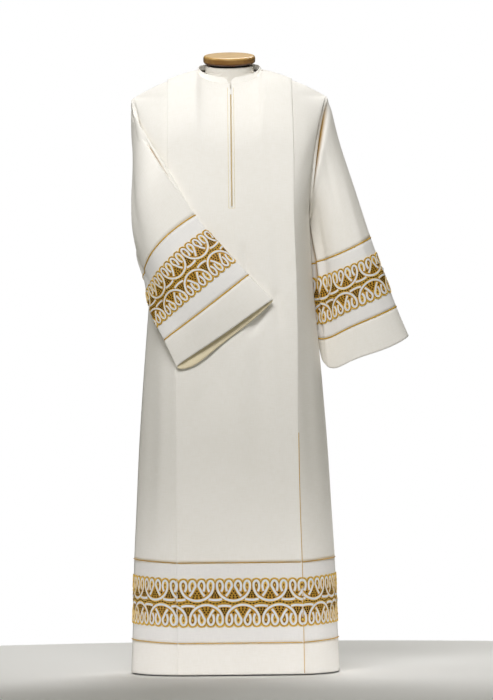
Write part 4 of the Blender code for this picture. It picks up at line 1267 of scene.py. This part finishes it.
class ALB_OT_bodices(bpy.types.Operator):
    """The front and the back of the alb, from the lace band up to the shoulders"""

    bl_idname = "alb.bodices"
    bl_label = "Bodices"
    bl_options = {"REGISTER", "UNDO"}

    def execute(self, context):
        thickness = context.scene.alb_settings.thickness
        for face, name in NAMES.items():
            cloth = bodice_cloth(face)
            slit = self.slit(cloth) if face == FRONT else None
            piece = cloth_piece(f"{name}_linen_bodice", cloth, shared(linen), thickness, slit)
            sewn(piece, cloth, f"{name}_bodice")
        self.pleat_shadow_line()
        return {"FINISHED"}

    def slit(self, cloth):
        """Which faces of the cloth the slit of the zip takes out."""
        heights = cloth.points[:-1, :-1, 2]
        middles = (cloth.points[:-1, :-1, 0] + cloth.points[:-1, 1:, 0]) / 2
        return ((heights > ZIP_BOTTOM_Z) & (np.abs(middles - ZIP_X) < SLIT_WIDTH / 4)).ravel()

    def pleat_shadow_line(self):
        """Thin gold-cord tube down the edge of the right front pleat: painted shade, standing for the shadow
        line in the pleat.
        """
        cloth = body_cloth(FRONT, HEM_Z + PLEAT_SHADOW_START, PLEAT_SHADOW_TOP_Z, 60)
        # The slit adds a column on this side, so this one is just before the middle of the fold.
        edge = cloth.points[:, centre_column() + outer_fold()]
        path = edge + (PLEAT_SHADOW_RADIUS, -PLEAT_SHADOW_RADIUS, 0.0)
        cord = tube("right_pleat_shadow_line_cord", path, PLEAT_SHADOW_RADIUS, shared(gold_cord))
        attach(cord, ROOT)


class ALB_OT_bands(bpy.types.Operator):
    """The lace bands and the hems round the bottom of the alb"""

    bl_idname = "alb.bands"
    bl_label = "Lace bands and hems"
    bl_options = {"REGISTER", "UNDO"}

    def execute(self, context):
        settings = context.scene.alb_settings
        for face, name in NAMES.items():
            hem = body_cloth(face, HEM_Z, LOWER_CORD_Z, 12)
            piece = cloth_piece(f"{name}_linen_hem", hem, shared(linen), settings.thickness)
            sewn(piece, hem, f"{name}_hem_band")
            band = body_cloth(face, LOWER_CORD_Z, UPPER_CORD_Z, 26)
            piece = cloth_piece(f"{name}_white_linen_band", band, shared(white_linen), settings.thickness)
            trim = lace(BODY_REPEATS, 1.0, 1.0, settings.thickness / MM)
            across = band.across.tolist()
            start = (across[centre_column()] + LACE_OFFSET, float(band.along[-1]) / 2 + 0.5)
            laid = trim.lay(f"{name}_lace", band, shared(lace_threads), start, folded_under(band, face),
                            ends=(0.5, across[-1] - 0.5))
            cords = body_cords(band, face, settings)
            sewn(piece, band, f"{name}_lace_band", [laid, *cords])
        return {"FINISHED"}


class ALB_OT_sleeves(bpy.types.Operator):
    """Both sleeves with their lace bands and cuffs"""

    bl_idname = "alb.sleeves"
    bl_label = "Sleeves"
    bl_options = {"REGISTER", "UNDO"}

    def execute(self, context):
        settings = context.scene.alb_settings
        for word, side, table, creases in (("right", RIGHT, RIGHT_SLEEVE, RIGHT_CREASES),
                                           ("left", LEFT, LEFT_SLEEVE, LEFT_CREASES)):
            whole = sleeve_cloth(side, table, creases)
            lace_row, cuff_row = sleeve_row(LACE_SECTION[side]), sleeve_row(CUFF_SECTION[side])
            upper = whole.part(0, lace_row)
            piece = cloth_piece(f"{word}_linen_sleeve", upper, shared(linen), settings.thickness)
            sewn(piece, upper, f"{word}_sleeve")
            band = whole.part(lace_row, cuff_row)
            piece = cloth_piece(f"{word}_white_linen_sleeve_band", band, shared(white_linen),
                                settings.thickness)
            trims = self.trims(word, side, band, settings)
            sewn(piece, band, f"{word}_sleeve_lace_band", trims)
            cuff = whole.part(cuff_row, whole.rows - 1)
            # Painted shade: the cuff's inner faces take a more golden linen, for the warm shade inside it.
            piece = cloth_piece(f"{word}_linen_cuff", cuff, shared(linen), settings.thickness,
                                wrong_side=shared(linen_inside_painted_shade))
            sewn(piece, cuff, f"{word}_sleeve_cuff")
            rolled_seam(f"{word}_armhole_seam", whole.points[0], closed=True)
        return {"FINISHED"}

    def trims(self, word, side, band, settings):
        """The lace round a sleeve's band, and the gold cord along both edges of the band."""
        thickness = settings.thickness / MM
        count = round(band.round / (REPEAT * SLEEVE_LACE_WIDTH))
        trim = lace((0, count), band.round / (REPEAT * count), SLEEVE_LACE_HEIGHT, thickness)
        # The lace is drawn upright, and the sleeve's rows run down towards the cuff.
        trim.points = [(x, -y, z) for x, y, z in trim.points]
        trim.faces = [face[::-1] for face in trim.faces]
        start = (SLEEVE_LACE_START[side] * band.round, float(band.along[-1]) / 2)
        trims = [trim.lay(f"{word}_sleeve_lace", band, shared(lace_threads), start)]
        radius = settings.cord_width / MM * SLEEVE_CORD_SHARE / 2
        across = np.linspace(0.0, band.round, 100, endpoint=False)
        lifted = np.full(100, thickness / 2 + LACE_LIFT)
        for level, row in (("upper", 0), ("lower", band.rows - 1)):
            path = band.place(across, np.full(100, band.along[row]), lifted)
            name = f"{word}_sleeve_{level}_gold_cord"
            trims.append(tube(name, path, radius, shared(gold_cord), closed=True))
        return trims


class ALB_OT_neckband(bpy.types.Operator):
    """The standing band round the neck"""

    bl_idname = "alb.neckband"
    bl_label = "Neckband"
    bl_options = {"REGISTER", "UNDO"}

    def execute(self, context):
        cloth = neckband_cloth()
        piece = cloth_piece("linen_neckband", cloth, shared(linen), context.scene.alb_settings.thickness)
        sewn(piece, cloth, "neckband")
        rolled_seam("neckband_seam", cloth.points[0])
        return {"FINISHED"}


class ALB_OT_zip(bpy.types.Operator):
    """The coil, the tapes, the lips and the stitches of the zip"""

    bl_idname = "alb.zip"
    bl_label = "Zip"
    bl_options = {"REGISTER", "UNDO"}

    def execute(self, context):
        cloth = bodice_cloth(FRONT)
        half_cloth = context.scene.alb_settings.thickness / MM / 2
        for word, side in (("left", LEFT), ("right", RIGHT)):
            places = self.beside_zip(cloth, side * np.linspace(COIL_RADIUS, TAPE_OUTER_X, 5),
                                     np.linspace(ZIP_BOTTOM_Z, ZIP_TOP_Z, 60)[:, None],
                                     -half_cloth - TAPE_BEHIND)
            tape = Cloth(places, flip=side == LEFT)
            piece = cloth_piece(f"woven_zip_tape_{word}", tape, shared(zip_tape), TAPE_THICKNESS * MM)
            sewn(piece, tape, f"zip_tape_{word}")
            lip = self.beside_zip(cloth, side * (SLIT_WIDTH / 2 + LIP_RADIUS),
                                  np.arange(ZIP_BOTTOM_Z - 1, ZIP_TOP_Z, 6.0), half_cloth)
            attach(tube(f"zip_{word}_lip", lip, LIP_RADIUS, shared(linen)), ROOT)
        coil = self.beside_zip(cloth, 0.0, np.arange(ZIP_BOTTOM_Z + 2, SLIDER_BOTTOM_Z, 0.5), -COIL_DEPTH)
        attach(tube("zip_coil", coil, COIL_RADIUS, shared(zip_coil), ridges=COIL_TURNS), ROOT)
        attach(self.stitches(cloth, half_cloth), ROOT)
        return {"FINISHED"}

    def along(self, cloth, heights):
        """Distances along the cloth at which its centre has these heights."""
        return np.interp(heights, cloth.points[:, centre_column(), 2], cloth.along)

    def beside_zip(self, cloth, out, heights, lift):
        """Points beside the middle of the zip at these heights, lifted off the cloth's middle surface."""
        across = float(cloth.across[centre_column()]) + ZIP_X + out
        return cloth.place(*np.broadcast_arrays(across, self.along(cloth, heights), lift))

    def stitches(self, cloth, half_cloth):
        """A line of stitches down both sides of the zip and across below it."""
        bottom, top = (float(self.along(cloth, height)) for height in (ZIP_BOTTOM_Z - 3, ZIP_TOP_Z - 8))
        trim = Trim()
        corners = [(-STITCH_OUT, top), (-STITCH_OUT, bottom), (STITCH_OUT, bottom), (STITCH_OUT, top)]
        for (x0, y0), (x1, y1) in zip(corners, corners[1:]):
            count = max(2, round(math.hypot(x1 - x0, y1 - y0) / STITCH_SPACING))
            run = np.linspace((x0, y0, half_cloth), (x1, y1, half_cloth), count + 1)
            for start, end in zip(run, run[1:]):
                stitch = np.linspace(start, start + (end - start) * STITCH_SHARE, 3)
                trim.ribbon(stitch, round_section(1.1, 0.5, 3), [0] * 3)
        start = (float(cloth.across[centre_column()]) + ZIP_X, 0.0)
        return trim.lay("zip_stitches", cloth, [shared(sewing_thread)], start)


FORM_FINISHES = {
    "form_torso": jersey,
    "form_neck_cap": turned_wood,
    "form_neck_spacer": gap_shadow_felt,
    "form_pole": stand_steel,
    "form_base": stand_steel,
    "zip_slider": zip_metal,
    "zip_pull_tab": zip_metal,
}


class ALB_OT_form(bpy.types.Operator):
    """The finishes of the tailor's form, its stand and the zip's metal"""

    bl_idname = "alb.form"
    bl_label = "Dress form"
    bl_options = {"REGISTER", "UNDO"}

    def execute(self, context):
        for node, finish in FORM_FINISHES.items():
            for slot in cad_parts[node].material_slots:
                slot.material = shared(finish)
        return {"FINISHED"}


# ---------------------------------------------------------------- studio

CAMERA_PLACE = (0.0365, -18.0, 0.90)
CAMERA_TURN = -0.6  # degrees, about the vertical
FRAME_PIXELS = 493
PIXEL_SIZE = 2.5  # millimetres of the alb's middle plane
FRAME_MIDDLE_Z = 0.805
SENSOR = 36.0
FLOOR_RADIUS = 1700.0
WHITE = (1.0, 1.0, 1.0)
WARM_SKY = (1.0, 0.965, 0.76, 1.0)
ALB_MIDDLE = (0.0, 0.0, 1.0)

# Each light's place and what it points at, its width and height in metres, its spread in degrees, which
# power it takes and how much of that, and its colour.
LIGHTS = {
    "key_light": (
        (-0.35, -3.0, 3.4), (0.0, 0.0, 1.45), (1.6, 1.4), 60.0, "key_power", 1.0, (0.99, 0.99, 1.0)),
    "right_light": ((2.6, -4.2, 1.7), ALB_MIDDLE, (2.5, 2.5), 180.0, "fill_power", 1.0, (1.0, 0.99, 0.97)),
    "left_light": ((-3.2, -0.2, 3.4), (-0.25, -0.1, 1.3), (0.8, 0.8), 20.0, "fill_power", 1 / 24, WHITE),
    "back_light": ((0.8, 3.2, 5.0), ALB_MIDDLE, (2.6, 2.2), 180.0, "key_power", 9.5, WHITE),
    "low_left_light": (
        (-1.95, -1.75, 0.08), (-0.2, 0.0, 0.0), (0.6, 0.1), 26.0, "low_power", 1.0, (0.97, 0.96, 1.0)),
    "low_right_light": (
        (1.95, -1.75, 0.08), (0.2, 0.0, 0.0), (0.6, 0.1), 26.0, "low_power", 1.0, (0.97, 0.96, 1.0)),
}


class ALB_OT_studio(bpy.types.Operator):
    """The floor, the lights and the camera"""

    bl_idname = "alb.studio"
    bl_label = "Studio"
    bl_options = {"REGISTER", "UNDO"}

    def execute(self, context):
        scene, studio = context.scene, context.scene.alb_studio
        scene.view_settings.view_transform = "Standard"
        self.floor(studio)
        for name, light in LIGHTS.items():
            self.light(name, studio, *light)
        self.sky(scene, studio)
        self.camera(scene)
        return {"FINISHED"}

    def floor(self, studio):
        """A round floor, painted and matt, so that nothing shines in it."""
        finish, _, _ = new_material("painted_floor", (*studio.floor, 1.0), 0.8)
        angles = np.linspace(0.0, 2 * np.pi, 96, endpoint=False)
        rim = np.stack((np.cos(angles), np.sin(angles), np.zeros(96)), axis=1) * FLOOR_RADIUS
        new_piece("studio_floor", rim, [tuple(range(96))], [finish])

    def light(self, name, studio, place, target, size, spread, power, share, colour):
        """A soft rectangular light that the camera doesn't see."""
        data = bpy.data.lights.new(name, "AREA")
        data.shape = "RECTANGLE"
        data.size, data.size_y = size
        data.spread = math.radians(spread)
        data.energy = getattr(studio, power) * share
        data.color = colour
        made = bpy.data.objects.new(name, data)
        made.location = place
        made.rotation_euler = (Vector(target) - made.location).to_track_quat("-Z", "Y").to_euler()
        made.visible_camera = False
        bpy.context.scene.collection.objects.link(made)

    def sky(self, scene, studio):
        """Weak warm light from all round, behind which the backdrop shows white."""
        scene.world = bpy.data.worlds.new("studio_sky")
        scene.world.use_nodes = True
        tree = scene.world.node_tree
        sky = tree.nodes["Background"]
        sky.inputs["Color"].default_value = WARM_SKY
        sky.inputs["Strength"].default_value = studio.sky
        backdrop = add_node(tree, "ShaderNodeBackground", [("Color", (*WHITE, 1.0))])
        rays = add_node(tree, "ShaderNodeLightPath")
        seen = add_node(tree, "ShaderNodeMixShader", [
            (0, (rays, "Is Camera Ray")), (1, (sky, "Background")), (2, (backdrop, "Background"))])
        tree.links.new(seen.outputs["Shader"], tree.nodes["World Output"].inputs["Surface"])

    def camera(self, scene):
        """A long lens at about half the alb's height, held level and shifted down a little."""
        data = bpy.data.cameras.new("studio_camera")
        data.sensor_fit = "HORIZONTAL"
        data.sensor_width = SENSOR
        frame_width = FRAME_PIXELS * PIXEL_SIZE * MM
        data.lens = SENSOR * -CAMERA_PLACE[1] / frame_width
        data.shift_y = (FRAME_MIDDLE_Z - CAMERA_PLACE[2]) / frame_width
        data.clip_end = 100.0
        made = bpy.data.objects.new("studio_camera", data)
        made.matrix_world = (Matrix.Translation(CAMERA_PLACE) @ Matrix.Rotation(math.radians(90), 4, "X")
                             @ Matrix.Rotation(math.radians(CAMERA_TURN), 4, "Z"))
        scene.collection.objects.link(made)
        scene.camera = made


# ---------------------------------------------------------------- panel and registering

OPERATORS = (
    ALB_OT_bodices, ALB_OT_bands, ALB_OT_sleeves, ALB_OT_neckband, ALB_OT_zip, ALB_OT_form, ALB_OT_studio)


class ALB_PT_panel(bpy.types.Panel):
    """The alb's pieces and settings"""

    bl_idname = "ALB_PT_panel"
    bl_label = "Alb"
    bl_space_type = "VIEW_3D"
    bl_region_type = "UI"
    bl_category = "Alb"

    def draw(self, context):
        for settings in (context.scene.alb_settings, context.scene.alb_studio):
            box = self.layout.box()
            for name in settings.__annotations__:
                box.prop(settings, name)
        for operator in OPERATORS:
            self.layout.operator(operator.bl_idname)


CLASSES = (AlbSettings, AlbStudio, *OPERATORS, ALB_PT_panel)


def register():
    for cls in CLASSES:
        bpy.utils.register_class(cls)
    bpy.types.Scene.alb_settings = PointerProperty(type=AlbSettings)
    bpy.types.Scene.alb_studio = PointerProperty(type=AlbStudio)


def unregister():
    del bpy.types.Scene.alb_settings
    del bpy.types.Scene.alb_studio
    for cls in reversed(CLASSES):
        bpy.utils.unregister_class(cls)


def main():
    """Registers the add-on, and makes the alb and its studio."""
    register()
    for operator in OPERATORS:
        group, name = operator.bl_idname.split(".")
        getattr(getattr(bpy.ops, group), name)()


if __name__ == "__main__":
    main()
